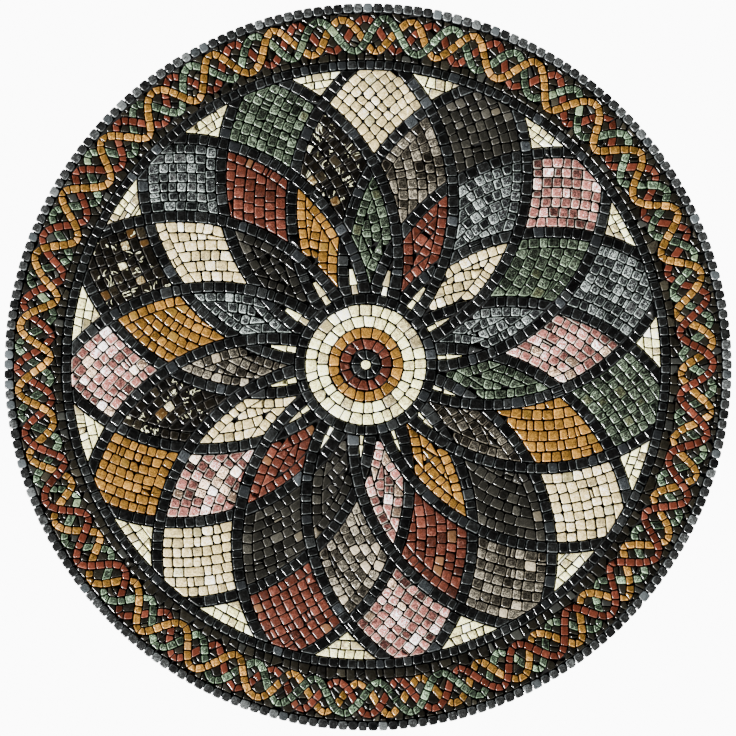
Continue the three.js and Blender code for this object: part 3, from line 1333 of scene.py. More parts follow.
class StoneMesh:
    """Gathers stones of one finish into one mesh, each a closed body with rounded arrises."""

    PROFILE = ArrisProfile()
    ROUNDNESS = (0.6, 1.15)
    DEEPEST = 0.35
    TILT = 0.011
    TILT_REACH = 0.15
    CROWN = 0.03
    PROUD = 0.05
    INSET_REACH = 0.8
    CORNER_REACH = 0.42
    CORNER_BULGE = 0.25
    CORNER_SHRINK = 0.2
    ROOT_FLARE = 1.3
    CELL_MIDDLE = 0.56
    CELL_HALF = 0.42
    CAP_MIDDLE = 0.065
    CAP_SCALE = 0.12

    def __init__(self, name: str, cut: Cut, finish: StoneFinish, tone: float = 0.0) -> None:
        """Starts an empty mesh.

        Args:
            name: The piece's name, which also fixes the chances.
            cut: How the stones are cut.
            finish: The stone.
            tone: How much lighter than usual the stones of this part are.
        """
        self.name = name
        self.chance = random.Random(name + "_looks")
        self.cut = cut
        self.finish = finish
        self.tone = tone
        self.vertices: list[np.ndarray] = []
        self.faces: list[tuple[int, ...]] = []
        self.values: dict[str, list[np.ndarray]] = {"tint": [], "odd": [], "arris": [], "deep": []}
        self.charts: list[np.ndarray] = []
        self.count = 0

    @classmethod
    def _inset(cls, corners: np.ndarray, amount: float) -> np.ndarray:
        """Moves all the sides of a convex outline inwards, as far as its sides allow.

        Args:
            corners: The outline's corners.
            amount: How far the sides should move.

        Returns:
            The smaller outline.
        """
        sides = np.roll(corners, -1, axis=0) - corners
        lengths = np.linalg.norm(sides, axis=1)
        along = sides / lengths[:, None]
        before = np.roll(along, 1, axis=0)
        turn = np.clip(np.sum(before * along, axis=1), -0.999, 0.9999)
        half = np.sqrt((1 - turn) / (1 + turn))
        room = lengths / (half + np.roll(half, -1))
        amount = min(amount, cls.INSET_REACH * float(room.min()))
        bisector = along * half[:, None] + np.stack([-along[:, 1], along[:, 0]], axis=1)
        return corners + bisector * amount

    @classmethod
    def _rounded(cls, corners: np.ndarray, radius: float) -> np.ndarray:
        """Rounds each corner of an outline with three points.

        Args:
            corners: The outline's corners.
            radius: How far from a corner its rounding starts at most.

        Returns:
            The points of the rounded outline.
        """
        to_next = np.roll(corners, -1, axis=0) - corners
        lengths = np.linalg.norm(to_next, axis=1)
        forward = to_next / lengths[:, None]
        back = -np.roll(forward, 1, axis=0)
        shorter = np.minimum(lengths, np.roll(lengths, 1))
        reach = np.minimum(radius, cls.CORNER_REACH * shorter)[:, None]
        top = corners + cls.CORNER_BULGE * reach * (back + forward)
        return np.stack([corners + back * reach, top, corners + forward * reach], axis=1).reshape(-1, 2)

    def add(self, outline: Polygon) -> None:
        """Adds one stone.

        Args:
            outline: Its outline at the joint, anticlockwise.
        """
        chance = self.chance
        corners = np.array(outline)
        radius = chance.uniform(*self.cut.corner)
        roundness = chance.uniform(*self.ROUNDNESS)
        drop = self.DEEPEST * chance.random() ** 2
        tilt = (chance.gauss(0, self.TILT), chance.gauss(0, self.TILT))
        rings, heights = [self._rounded(corners, radius)], [PLAN.stone_root]
        for inwards, down in self.PROFILE.steps:
            inset = self._inset(corners, inwards * roundness)
            rings.append(self._rounded(inset, radius * (1 - self.CORNER_SHRINK * inwards)))
            heights.append(PLAN.face - drop - down * roundness)
        size, bands = len(rings[0]), len(rings) - 1
        flat = np.concatenate(rings + [rings[-1].mean(axis=0)[None]])
        height = np.append(np.repeat(heights, size), heights[-1] + self.CROWN)
        offset = flat[size:] - corners.mean(axis=0)
        lift = offset[:, 0] * tilt[0] + offset[:, 1] * tilt[1]
        height[size:] += np.clip(lift, -self.TILT_REACH, self.TILT_REACH)
        height = np.minimum(height, PLAN.face + self.PROUD)
        self.vertices.append(np.stack([flat[:, 0], -height, flat[:, 1]], axis=1) * MM)

        turns = [(i, (i + 1) % size) for i in range(size)]
        walls = [
            (low + i, low + j, low + size + j, low + size + i)
            for low in range(0, bands * size, size) for i, j in turns
        ]
        walls += [(bands * size + i, bands * size + j, len(flat) - 1) for i, j in turns]
        base = tuple(reversed(range(size)))
        self.faces += [tuple(self.count + k for k in face) for face in walls + [base]]
        self.charts.append(self._chart(corners, flat, [k for face in walls for k in face]))

        tint = min(max(chance.gauss(0.5 + self.tone, self.finish.spread), 0.02), 0.98)
        odd = 1.0 if chance.random() < self.finish.odd_share else 0.0
        self.values["tint"].append(np.full(len(flat), tint))
        self.values["odd"].append(np.full(len(flat), odd))
        # The arris rings get a pale coat: bruised stone and a painted highlight.
        self.values["arris"].append(np.append(np.repeat((0.0, *self.PROFILE.worn), size), 0.0))
        # Darker down the walls: mortar haze and painted shade in the joint.
        deep = np.append(np.repeat((1.0, *self.PROFILE.deep), size), 0.0)
        self.values["deep"].append(deep * self.cut.grime)
        self.count += len(flat)

    def _chart(self, corners: np.ndarray, flat: np.ndarray, order: list[int]) -> np.ndarray:
        """Spreads a stone's sides out round its face, and sets its base small in a corner.

        Args:
            corners: The corners of the outline.
            flat: All the stone's points, ring by ring, seen from the front.
            order: The numbers of the points round each face but the base.

        Returns:
            The place of each point of each face in a square of its own.
        """
        flares = (self.ROOT_FLARE, *self.PROFILE.flare)
        size = (len(flat) - 1) // len(flares)
        rim = flat[:size]
        outward = rim - corners.mean(axis=0)
        outward /= np.maximum(np.linalg.norm(outward, axis=1), 1e-6)[:, None]
        spread = flat.copy()
        spread[:-1] += np.concatenate([outward * flare for flare in flares])
        low, high = corners.min(axis=0), corners.max(axis=0)
        centre = (low + high) / 2
        half = float((high - low).max()) / 2 + self.ROOT_FLARE
        chart = (spread - centre) / half * self.CELL_HALF + self.CELL_MIDDLE
        cap = (rim - centre) / half * self.CELL_HALF * self.CAP_SCALE + self.CAP_MIDDLE
        return np.concatenate([chart[order], cap[::-1]])

    def build(self, outlines: list[Polygon], finisher: Finisher, *nodes: str) -> None:
        """Makes a stone on each outline, and writes them as one piece.

        Args:
            outlines: The stones' outlines at the joint.
            finisher: Where the material comes from.
            nodes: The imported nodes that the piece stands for.
        """
        for outline in outlines:
            self.add(outline)
        vertices = np.concatenate(self.vertices).tolist()
        piece = new_object(self.name, vertices, self.faces, finisher.stone(self.finish))
        side = math.ceil(math.sqrt(len(self.charts)))
        charts = [(chart + (i % side, i // side)) / side for i, chart in enumerate(self.charts)]
        values = {key: np.concatenate(numbers) for key, numbers in self.values.items()}
        dress(piece.data, np.concatenate(charts), values)
        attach(piece, BODY)
        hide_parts(*nodes)
        LOG.info("%s: %d stones, %d faces", self.name, len(self.charts), len(self.faces))


# ---- Sub-assemblies ----


@dataclass(frozen=True)
class OuterCourse:
    """The course of tumbled black stones round the edge."""

    stones: int = 225
    overhang: float = 0.35
    # The edge stones' outer sides stand in no joint, so they get less mortar haze and painted shade.
    cut: Cut = Cut(
        uneven=0.08, slant=0.3, split_share=0.0, merge_share=0.0, corner=(2.0, 3.2), gape=0.25, grime=0.45
    )

    def build(self, finisher: Finisher) -> None:
        """Lays the course.

        Args:
            finisher: Where the material comes from.
        """
        mason = Mason("outer_course", self.cut)
        outer = PLAN.panel_radius + self.overhang
        outlines = mason.ring((0.0, 0.0), outer, PLAN.outer_course, self.stones, 180 / self.stones)
        StoneMesh("edge_stones", self.cut, SLATE).build(outlines, finisher, "outer_course")


@dataclass(frozen=True)
class FieldBorder:
    """The black course inside the braid and the pale triangles on it."""

    rosette: Rosette
    stones: int = 200
    cut: Cut = Cut(uneven=0.2, split_share=0.01, merge_share=0.0)
    triangle_cut: Cut = Cut(
        pitch=9.0, slant=1.3, split_share=0.06, merge_share=0.0, corner=(0.4, 0.9), smallest=7.0
    )

    def build(self, finisher: Finisher) -> None:
        """Lays the course and the triangles.

        Args:
            finisher: Where the materials come from.
        """
        mason = Mason("field_border", self.cut)
        outlines = mason.ring(PLAN.field_centre, PLAN.braid, PLAN.field, self.stones)
        StoneMesh("field_course", self.cut, BLACK).build(outlines, finisher, "field_border")
        mason = Mason("triangles", self.triangle_cut)
        outlines = []
        for index in range(self.rosette.petals):
            outlines += mason.fill(self.rosette.triangle(index), 0)
        StoneMesh("field_triangles", self.triangle_cut, WHITE).build(outlines, finisher, "field_border")


@dataclass(frozen=True)
class PetalLines:
    """The black lines of the rosette, the course round the roundel and the pale slivers."""

    rosette: Rosette
    course_stones: int = 38
    step: float = 0.5
    shortest: float = 2.0
    overrun: float = 3.5
    crossing_reach: float = 16.0
    outside: float = 260.0
    sliver_base: float = 9.5
    sliver_reach: float = 26.0
    sliver_inset: float = 2.1
    sliver_half: float = 8.0
    cut: Cut = Cut(pitch=10.4, uneven=0.2, split_share=0.02, merge_share=0.0)
    sliver_cut: Cut = Cut(slant=0.3, split_share=0.0, merge_share=0.0, corner=(0.3, 0.6), smallest=4.0)

    def _laid(
        self, hand: Hand, index: int, guide: Edge, rims: tuple[Edge, Edge]
    ) -> tuple[np.ndarray, np.ndarray]:
        """Finds where a line shows, a step at a time round its circle.

        Args:
            hand: The line's hand.
            index: Its number.
            guide: Its outer side.
            rims: The edges of the field and of the roundel's course.

        Returns:
            The angle of each step in radians, and whether the line is laid there.
        """
        radius = self.rosette.arc_radius
        angles = np.arange(0.0, 2 * math.pi * radius, self.step) / radius
        x = guide.circle.x + radius * np.cos(angles)
        z = guide.circle.z + radius * np.sin(angles)
        # Of the two stretches between the rims, the line keeps the one past its first crossing.
        crossing = self.rosette.crossing(index, self.outside)
        middle = len(angles) // 2
        shift = middle - int(np.hypot(x - crossing[0], z - crossing[1]).argmin())
        angles, x, z = np.unwrap(np.roll(angles, shift)), np.roll(x, shift), np.roll(z, shift)
        laid = np.all([rim.depth(x, z) > 0 for rim in rims], axis=0)
        before, after = np.flatnonzero(~laid[:middle]), np.flatnonzero(~laid[middle:])
        laid[: before[-1] + 1 if len(before) else 0] = False
        laid[middle + after[0] if len(after) else len(laid) :] = False
        for other in self._crossed(hand):
            circle = self.rosette.line(Hand.CLOCKWISE, other)
            away = np.abs(np.hypot(x - circle.x, z - circle.z) - circle.radius)
            laid &= (away > self.rosette.half_line) | ~self.rosette.drawn(Hand.CLOCKWISE, other, x, z)
        return angles, laid

    def _crossed(self, hand: Hand) -> range:
        """The numbers of the clockwise lines, which run on over the anticlockwise ones."""
        return range(self.rosette.petals if hand is Hand.ANTICLOCKWISE else 0)

    def _line(self, mason: Mason, hand: Hand, index: int) -> list[Polygon]:
        """Lays the stones of one line.

        Args:
            mason: Who lays them.
            hand: The line's hand.
            index: Its number.

        Returns:
            The stones' outlines.
        """
        half, radius = self.rosette.half_line, self.rosette.arc_radius
        guide = Edge(self.rosette.line(hand, index, half), True)
        field = Edge(PLAN.field_circle(PLAN.field), True)
        course = Edge(PLAN.field_circle(PLAN.roundel_course), False)
        angles, shown = self._laid(hand, index, guide, (field, course))
        changes = np.flatnonzero(np.diff(np.concatenate([[0], shown.astype(int), [0]])))
        outlines = []
        for start, end in zip(changes[::2], changes[1::2]):
            if (end - start) * self.step < self.shortest:
                continue
            marks = mason.divide(angles[start] * radius, angles[end - 1] * radius)
            marks[0] -= self.overrun
            marks[-1] += self.overrun
            cells = []
            for cell in mason.cells(guide, 0.0, 2 * half, [mark / radius for mark in marks]):
                x, z = middle_of(cell)
                cell = course.cut(field.cut(self._widened(cell, self.rosette.line(hand, index))))
                for other in self._crossed(hand):
                    circle = self.rosette.line(Hand.CLOCKWISE, other)
                    away = math.hypot(x - circle.x, z - circle.z) - circle.radius
                    if abs(away) < self.crossing_reach and self.rosette.drawn(Hand.CLOCKWISE, other, x, z):
                        cell = self.rosette.side(Hand.CLOCKWISE, other, away < 0).cut(cell)
                cells.append(cell)
            outlines += mason.stones(cells)
        return outlines

    def _inset(self, rise: float) -> float:
        """How far the lines reach over a sliver's sides at a height above the roundel's course."""
        return self.sliver_inset * max(0.0, 1.0 - rise / self.sliver_reach)

    def _widened(self, cell: Polygon, line: Circle) -> Polygon:
        """Widens a line's stone towards the sliver beside it, near the roundel.

        Args:
            cell: The stone's cell.
            line: The circle of the line's middle.

        Returns:
            The cell, whose corners inside the circle are moved.
        """
        widened = []
        for x, z in cell:
            away = math.hypot(x - line.x, z - line.z)
            rise = math.hypot(x - PLAN.field_centre[0], z - PLAN.field_centre[1]) - PLAN.roundel_course
            move = self._inset(max(rise, 0.0)) / away if away < line.radius else 0.0
            widened.append((x + (line.x - x) * move, z + (line.z - z) * move))
        return widened

    def _sliver(self, index: int) -> list[Polygon]:
        """The cells of one sliver: its base, and its point.

        Args:
            index: The sliver's number.

        Returns:
            The cells.
        """
        region = self.rosette.sliver(index)
        guide, limits = region.edges[0], region.edges[1:]
        heading = guide.heading(region.middle)
        cells = []
        for near, far in ((0.0, self.sliver_base), (self.sliver_base, self.sliver_reach)):
            half = self.sliver_half / guide.radius_at((near + far) / 2)
            first, last = heading - half, heading + half
            cell = [guide.place(*end) for end in ((near, first), (near, last), (far, last), (far, first))]
            for limit in limits:
                cell = limit.moved(self._inset((near + far) / 2)).cut(cell)
            cells.append(cell)
        return cells

    def build(self, finisher: Finisher) -> None:
        """Lays the lines, the course and the slivers.

        Args:
            finisher: Where the materials come from.
        """
        mason = Mason("petal_lines", self.cut)
        outlines = mason.ring(PLAN.field_centre, PLAN.roundel_course, PLAN.roundel, self.course_stones)
        for index in range(self.rosette.petals):
            for hand in Hand:
                outlines += self._line(mason, hand, index)
        StoneMesh("petal_line_stones", self.cut, BLACK).build(outlines, finisher, "petal_outlines")
        cells = [cell for index in range(self.rosette.petals) for cell in self._sliver(index)]
        outlines = Mason("slivers", self.sliver_cut).stones(cells)
        StoneMesh("sliver_stones", self.sliver_cut, WHITE).build(outlines, finisher, "petal_outlines")


@dataclass(frozen=True)
class Laying:
    """How one petal is laid: the side its rows follow, and the sides that get a course first."""

    guide: int
    courses: tuple[int, ...] = ()


class Petals:
    """One ring of petals, each laid in its own stone."""

    LAYINGS = {
        Ring.OUTER: (Laying(1, (2,)), Laying(2), Laying(1, (2, 1)), Laying(2, (1,)), Laying(1)),
        Ring.MIDDLE: (Laying(0, (3,)), Laying(3, (0,)), Laying(2, (3, 0)), Laying(1, (0,)), Laying(0)),
        Ring.INNER: (Laying(0, (0, 3, 1, 2)), Laying(3, (0, 1, 2, 3)), Laying(1, (3, 0, 1))),
    }
    CUTS = {Ring.OUTER: Cut(pitch=10.1), Ring.MIDDLE: Cut(pitch=10.1), Ring.INNER: Cut(pitch=9.6)}
    TONES = {
        "petal_inner_06_taupe": -0.22,
        "petal_middle_08_taupe": 0.06,
        "petal_inner_14_charcoal": -0.16,
        "petal_outer_09_red": 0.1,
    }

    def __init__(self, ring: Ring, rosette: Rosette) -> None:
        """Finds the ring's nodes, in order round the panel.

        Args:
            ring: The ring.
            rosette: The drawing of the petals.
        """
        self.ring = ring
        self.rosette = rosette
        prefix = f"petal_{ring.name.lower()}_"
        self.nodes = sorted(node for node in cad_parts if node.startswith(prefix))

    def build(self, finisher: Finisher) -> None:
        """Lays every petal of the ring.

        Args:
            finisher: Where the materials come from.
        """
        cut, layings = self.CUTS[self.ring], self.LAYINGS[self.ring]
        for index, node in enumerate(self.nodes):
            laying = layings[index % len(layings)]
            region = self.rosette.petal(self.ring, index)
            outlines = Mason(node, cut).fill(region, laying.guide, laying.courses)
            finish = PETAL_FINISHES[node.rsplit("_", 1)[1]]
            tone = self.TONES.get(node, 0.0)
            StoneMesh(node + "_stones", cut, finish, tone).build(outlines, finisher, node)


@dataclass(frozen=True)
class Course:
    """One course of the roundel: its outer and inner radius and its number of stones."""

    outer: float
    inner: float
    stones: int


@dataclass(frozen=True)
class Roundel:
    """The rings in the middle of the rosette, from the outside in, and the stone in the middle."""

    cut: Cut = Cut(uneven=0.26, slant=0.8, gape=0.5, split_share=0.0, merge_share=0.0)
    centre_radius: float = 5.5
    centre_sides: int = 8
    rings: tuple[tuple[str, StoneFinish, tuple[Course, ...]], ...] = (
        ("roundel_cream", WHITE, (Course(60.4, 48.8, 32), Course(48.8, 37.5, 25))),
        ("roundel_ochre", OCHRE, (Course(37.5, 26.5, 21),)),
        ("roundel_red", RED, (Course(26.5, 15.5, 14),)),
        ("roundel_black", BLACK, (Course(15.5, 5.5, 8),)),
    )

    def build(self, finisher: Finisher) -> None:
        """Lays the rings, then the stone in the middle.

        Args:
            finisher: Where the materials come from.
        """
        for node, finish, courses in self.rings:
            mason = Mason(node, self.cut)
            outlines = []
            for course in courses:
                turn = mason.chance.uniform(0, 360)
                outlines += mason.ring(PLAN.field_centre, course.outer, course.inner, course.stones, turn)
            StoneMesh(node + "_stones", self.cut, finish).build(outlines, finisher, node)
        turn = -360.0 / self.centre_sides
        cell = [polar(self.centre_radius, turn * i, PLAN.field_centre) for i in range(self.centre_sides)]
        outlines = Mason("roundel_centre", self.cut).stones([cell])
        StoneMesh("roundel_centre_stones", self.cut, WHITE).build(outlines, finisher, "roundel_centre")


class Strand(Enum):
    """The strands of the braid, by how far each peak lies behind the ochre one's, in periods."""

    OCHRE = 0.0
    RED = 1 / 3
    GREEN = 2 / 3


@dataclass(frozen=True)
class Path:
    """The middle line of a strand, a step at a time round the panel."""

    radii: np.ndarray
    points: np.ndarray
    normals: np.ndarray
    slopes: np.ndarray

    def lengths(self) -> np.ndarray:
        """How far each point lies from the next."""
        return np.linalg.norm(np.roll(self.points, -1, axis=0) - self.points, axis=1)

    def bends(self) -> np.ndarray:
        """How sharply the line bends at each point."""
        return np.linalg.norm(np.roll(self.normals, -1, axis=0) - self.normals, axis=1) / self.lengths()


class Braid:
    """The three-strand braid and the dark stones round it."""

    CENTRE: Point = (-2.0, 0.5)
    MIDDLE_RADIUS = 329.7
    SWING = 16.5
    WAVES = 32
    FIRST_PEAK = 7.2
    WANDER_WAVES = (7, 11, 19, 29, 41)
    WANDER_HEIGHTS = (0.4, 1.0)
    WANDER_SUM = 2.2
    PEAK_WANDER = 0.45
    SWING_WANDER = 0.9
    HALF_STRAND = 4.0
    STEP = 0.05
    PITCH = 9.4
    ORDERS = (
        (12, (Strand.GREEN, Strand.OCHRE, Strand.RED)),
        (78, (Strand.OCHRE, Strand.GREEN, Strand.RED)),
        (160, (Strand.RED, Strand.OCHRE, Strand.GREEN)),
        (195, (Strand.GREEN, Strand.RED, Strand.OCHRE)),
        (228, (Strand.OCHRE, Strand.GREEN, Strand.RED)),
        (258, (Strand.RED, Strand.OCHRE, Strand.GREEN)),
        (320, (Strand.OCHRE, Strand.RED, Strand.GREEN)),
        (345, (Strand.OCHRE, Strand.GREEN, Strand.RED)),
        (361, (Strand.GREEN, Strand.OCHRE, Strand.RED)),
    )
    FINISHES = {Strand.OCHRE: STRAND_OCHRE, Strand.RED: STRAND_RED, Strand.GREEN: STRAND_GREEN}
    EDGE_SEARCH = 70
    OPEN_SIDE = 8
    SHORTEST = 2.2
    OVERRUN = 4.0
    BEND_WEIGHT = 0.5
    SHARP_BEND = 7.0
    GROUND_ROUNDS = 4
    GROUND_PASSES = ((8.0, 2.4), (6.6, 1.9), (5.2, 1.5))
    GROUND_TRIES = 16000
    GROUND_REACH = 8.0
    SEED_BUCKET = 12.0
    GROUND_BUCKET = 14.0
    CLEARANCE = 0.3
    COURSE_STONES = 204
    COURSE_REACH = 12.5
    COURSE_UNEVEN = 0.22
    COURSE_FOOT = 0.2

    def __init__(self) -> None:
        """Draws the strands."""
        self.cut = Cut(pitch=self.PITCH, uneven=0.14, slant=0.0, gape=0.3, corner=(0.8, 1.5), smallest=8.0)
        self.ground_cut = Cut(gape=0.3, corner=(0.5, 1.1), smallest=4.0, shortest=1.7)
        self.course_cut = Cut(
            slant=0.9, gape=0.4, corner=(0.6, 1.3), split_share=0.0, merge_share=0.02, smallest=6.0
        )
        self.inner_side = Edge(PLAN.field_circle(PLAN.braid), False)
        self.outer_side = Edge(Circle(0.0, 0.0, PLAN.outer_course), True)
        self.mason = Mason("braid", self.cut)
        self.angles = np.arange(0.0, 360.0, self.STEP)
        self.paths = {strand: self._draw(strand) for strand in Strand}

    def _wander(self, size: float) -> np.ndarray:
        """A smooth closed course of small chance differences, the size of a hand's error.

        Args:
            size: About how large the differences are.

        Returns:
            The difference at each step.
        """
        turns = np.radians(self.angles)
        total = np.zeros_like(turns)
        for waves in self.WANDER_WAVES:
            height = self.mason.chance.uniform(*self.WANDER_HEIGHTS)
            total += height * np.sin(waves * turns + self.mason.chance.uniform(0, 2 * math.pi))
        return total * size / self.WANDER_SUM

    def _draw(self, strand: Strand) -> Path:
        """Draws the middle line of one strand.

        Args:
            strand: The strand.

        Returns:
            The line.
        """
        period = 360.0 / self.WAVES
        peak = self.FIRST_PEAK + strand.value * period + self._wander(self.PEAK_WANDER)
        swing = self.SWING + self._wander(self.SWING_WANDER)
        radii = self.MIDDLE_RADIUS + swing * np.cos(np.radians(self.WAVES * (self.angles - peak)))
        turns = np.radians(self.angles)
        around = np.stack([np.sin(turns), np.cos(turns)], axis=1)
        points = np.array(self.CENTRE) + radii[:, None] * around
        ahead = np.roll(points, -1, axis=0) - np.roll(points, 1, axis=0)
        ahead /= np.linalg.norm(ahead, axis=1)[:, None]
        rise = (np.roll(radii, -1) - np.roll(radii, 1)) / (2 * math.radians(self.STEP))
        normals = np.stack([-ahead[:, 1], ahead[:, 0]], axis=1)
        return Path(radii, points, normals, np.arctan2(rise, radii))

    def _order(self, angle: float) -> tuple[Strand, ...]:
        """The strands from the top one down, at an angle."""
        return next(order for limit, order in self.ORDERS if angle < limit)

    def _covered(self, strand: Strand) -> np.ndarray:
        """Finds which strand covers each place of a strand.

        Args:
            strand: The strand below.

        Returns:
            The covering strand's number in the enum plus one, or nought where none does.
        """
        covered = np.zeros(len(self.angles), dtype=int)
        places = [self._order(angle) for angle in self.angles]
        for number, other in enumerate(Strand):
            if other is strand:
                continue
            above = np.array([order.index(other) < order.index(strand) for order in places])
            path = self.paths[other]
            away = np.abs(self.paths[strand].radii - path.radii) * np.cos(path.slopes)
            covered[above & (away < self.HALF_STRAND)] = number + 1
        return covered

    def _edge_line(self, over: Strand, place: int, towards: np.ndarray) -> tuple[float, float, float]:
        """The edge of a covering strand near a place.

        Args:
            over: The strand on top.
            place: The number of the step where it starts to cover.
            towards: A point on the side that stays open.

        Returns:
            The unit normal towards the open side, and how far along it the edge lies.
        """
        path = self.paths[over]
        window = np.arange(place - self.EDGE_SEARCH, place + self.EDGE_SEARCH + 1) % len(self.angles)
        nearest = window[np.linalg.norm(path.points[window] - towards, axis=1).argmin()]
        point, normal = path.points[nearest], path.normals[nearest]
        if float(np.dot(normal, towards - point)) < 0:
            normal = -normal
        return float(normal[0]), float(normal[1]), float(np.dot(normal, point)) + self.HALF_STRAND

    def _stretch(self, path: Path, start: int, end: int, over: tuple[Strand, Strand]) -> list[Polygon]:
        """Lays the stones of a strand between two strands that cover it.

        Args:
            path: The strand's middle line.
            start: The number of the first step that shows.
            end: The number of the last one.
            over: The strands that cover it before the start and after the end.

        Returns:
            The stones' outlines.
        """
        count, half = len(self.angles), self.HALF_STRAND
        window = np.arange(start, end + 1) % count
        lengths = path.lengths()
        if lengths[window].sum() < self.SHORTEST:
            return []
        weights = lengths * (1 + self.BEND_WEIGHT * np.clip(path.bends() * self.SHARP_BEND, 0, 1))
        reach = np.concatenate([[0.0], np.cumsum(weights[window])])
        marks = self.mason.divide(0.0, float(reach[-1]))
        places = [start + int(np.searchsorted(reach, mark)) for mark in marks]
        first_cut = self._edge_line(over[0], start, path.points[(start + self.OPEN_SIDE) % count])
        last_cut = self._edge_line(over[1], end, path.points[(end - self.OPEN_SIDE) % count])
        extra = int(self.OVERRUN / lengths[window].mean())
        places[0] -= extra
        places[-1] += extra
        cells = []
        for first, last in zip(places, places[1:]):
            sides = ((first, -half), (last, -half), (last, half), (first, half))
            cell = [tuple(path.points[k % count] + path.normals[k % count] * out) for k, out in sides]
            if first == places[0]:
                cell = clipped(cell, *first_cut)
            if last == places[-1]:
                cell = clipped(cell, *last_cut)
            cells.append(cell)
        return self.mason.stones(cells)

    def strand_stones(self, strand: Strand) -> list[Polygon]:
        """Lays the stones of one strand, and stops them at the strands that cross over it.

        Args:
            strand: The strand.

        Returns:
            The stones' outlines.
        """
        strands, covered = list(Strand), self._covered(strand)
        count = len(covered)
        laid = []
        for start in np.flatnonzero((covered == 0) & (np.roll(covered, 1) != 0)).tolist():
            end = start
            while covered[(end + 1) % count] == 0:
                end += 1
            over = (strands[covered[(start - 1) % count] - 1], strands[covered[(end + 1) % count] - 1])
            laid += self._stretch(self.paths[strand], start, end, over)
        return laid

    def _in_ring(self, point: Point, margin: float) -> bool:
        """Whether a point lies in the braid's ring by more than a margin."""
        inside = self.inner_side.depth(*point) > margin
        return bool(inside) and math.hypot(*point) < PLAN.outer_course - margin

    def _seeds(self, stones: Buckets) -> list[Point]:
        """Scatters the middles of the ground stones in the spaces that other stones leave.

        Args:
            stones: The stones that are laid already.

        Returns:
            The middles.
        """
        chance = random.Random("braid_ground")
        seeds: list[Point] = []
        taken = Buckets(self.SEED_BUCKET)
        for apart, clear in self.GROUND_PASSES:
            for _ in range(self.GROUND_TRIES):
                radius = chance.uniform(PLAN.braid, PLAN.outer_course)
                point = polar(radius, chance.uniform(0, 360))
                if not self._in_ring(point, clear):
                    continue
                if any(math.dist(point, other) < apart for other in taken.near(point)):
                    continue
                if any(gap_to(stone, point)[0] < clear for stone in stones.near(point)):
                    continue
                taken.put(point, point)
                seeds.append(point)
        return seeds

    def _clear_of(self, cell: Polygon, point: Point, stones: Buckets) -> Polygon:
        """Cuts a cell along the sides of other stones that face a point in it.

        Args:
            cell: The cell.
            point: The point.
            stones: The other stones.

        Returns:
            What is left of the cell.
        """
        for stone in stones.near(point):
            gap, nx, nz, limit = gap_to(stone, point)
            if gap > 0:
                cell = clipped(cell, nx, nz, limit + self.CLEARANCE)
        return cell

    def _ground_cell(self, seed: Point, spots: Buckets, stones: Buckets) -> Polygon:
        """The cell of one ground stone, nearer to its middle than to any other.

        Args:
            seed: The stone's middle.
            spots: The middles of all the ground stones.
            stones: The other stones.

        Returns:
            The cell, clear of the other stones and inside the braid's ring.
        """
        (x, z), reach = seed, self.GROUND_REACH
        cell = [(x + reach * right, z + reach * up) for right, up in ((-1, -1), (1, -1), (1, 1), (-1, 1))]
        for other in spots.near(seed):
            apart = math.dist(seed, other)
            if 0 < apart < 2 * reach:
                nx, nz = (x - other[0]) / apart, (z - other[1]) / apart
                limit = nx * (x + other[0]) / 2 + nz * (z + other[1]) / 2
                cell = clipped(cell, nx, nz, limit)
        return self.outer_side.cut(self.inner_side.cut(self._clear_of(cell, seed, stones)))

    def ground_stones(self, stones: list[Polygon]) -> list[Polygon]:
        """Fills the spaces between other stones with irregular ones.

        Args:
            stones: The stones that are laid already.

        Returns:
            The outlines of the ground stones.
        """
        grid = Buckets.of(stones, self.GROUND_BUCKET)
        seeds = self._seeds(grid)
        cells: list[Polygon] = []
        for _ in range(self.GROUND_ROUNDS):
            spots = Buckets(self.GROUND_BUCKET)
            for seed in seeds:
                spots.put(seed, seed)
            cells = [self._ground_cell(seed, spots, grid) for seed in seeds]
            seeds = [middle_of(cell) if len(cell) > 2 else seed for cell, seed in zip(cells, seeds)]
        return Mason("braid_ground_cut", self.ground_cut).stones(cells)

    def ground_course(self, stones: list[Polygon]) -> list[Polygon]:
        """Lays the ground stones that stand on the black course and reach up to the strands.

        Args:
            stones: The stones of the strands.

        Returns:
            The outlines of the ground stones.
        """
        mason = Mason("braid_ground_course", self.course_cut)
        grid = Buckets.of(stones, self.SEED_BUCKET)
        marks = mason.marks(0.0, 2 * math.pi / self.COURSE_STONES, self.COURSE_STONES, self.COURSE_UNEVEN)
        cells = []
        for cell in mason.cells(self.inner_side, 0.0, self.COURSE_REACH, marks):
            low, high = middle_of(cell[:2]), middle_of(cell[2:])
            foot = tuple(a + (b - a) * self.COURSE_FOOT for a, b in zip(low, high))
            cells.append(self._clear_of(cell, foot, grid))
        return mason.stones(cells)

    def build(self, finisher: Finisher) -> None:
        """Lays the strands, then the ground between them.

        Args:
            finisher: Where the materials come from.
        """
        every = []
        for strand in Strand:
            stones = self.strand_stones(strand)
            every += stones
            name = f"braid_{strand.name.lower()}_stones"
            StoneMesh(name, self.cut, self.FINISHES[strand]).build(stones, finisher, "braid_border")
        course = self.ground_course(every)
        ground = course + self.ground_stones(every + course)
        StoneMesh("braid_ground_stones", self.ground_cut, GROUND).build(ground, finisher, "braid_border")


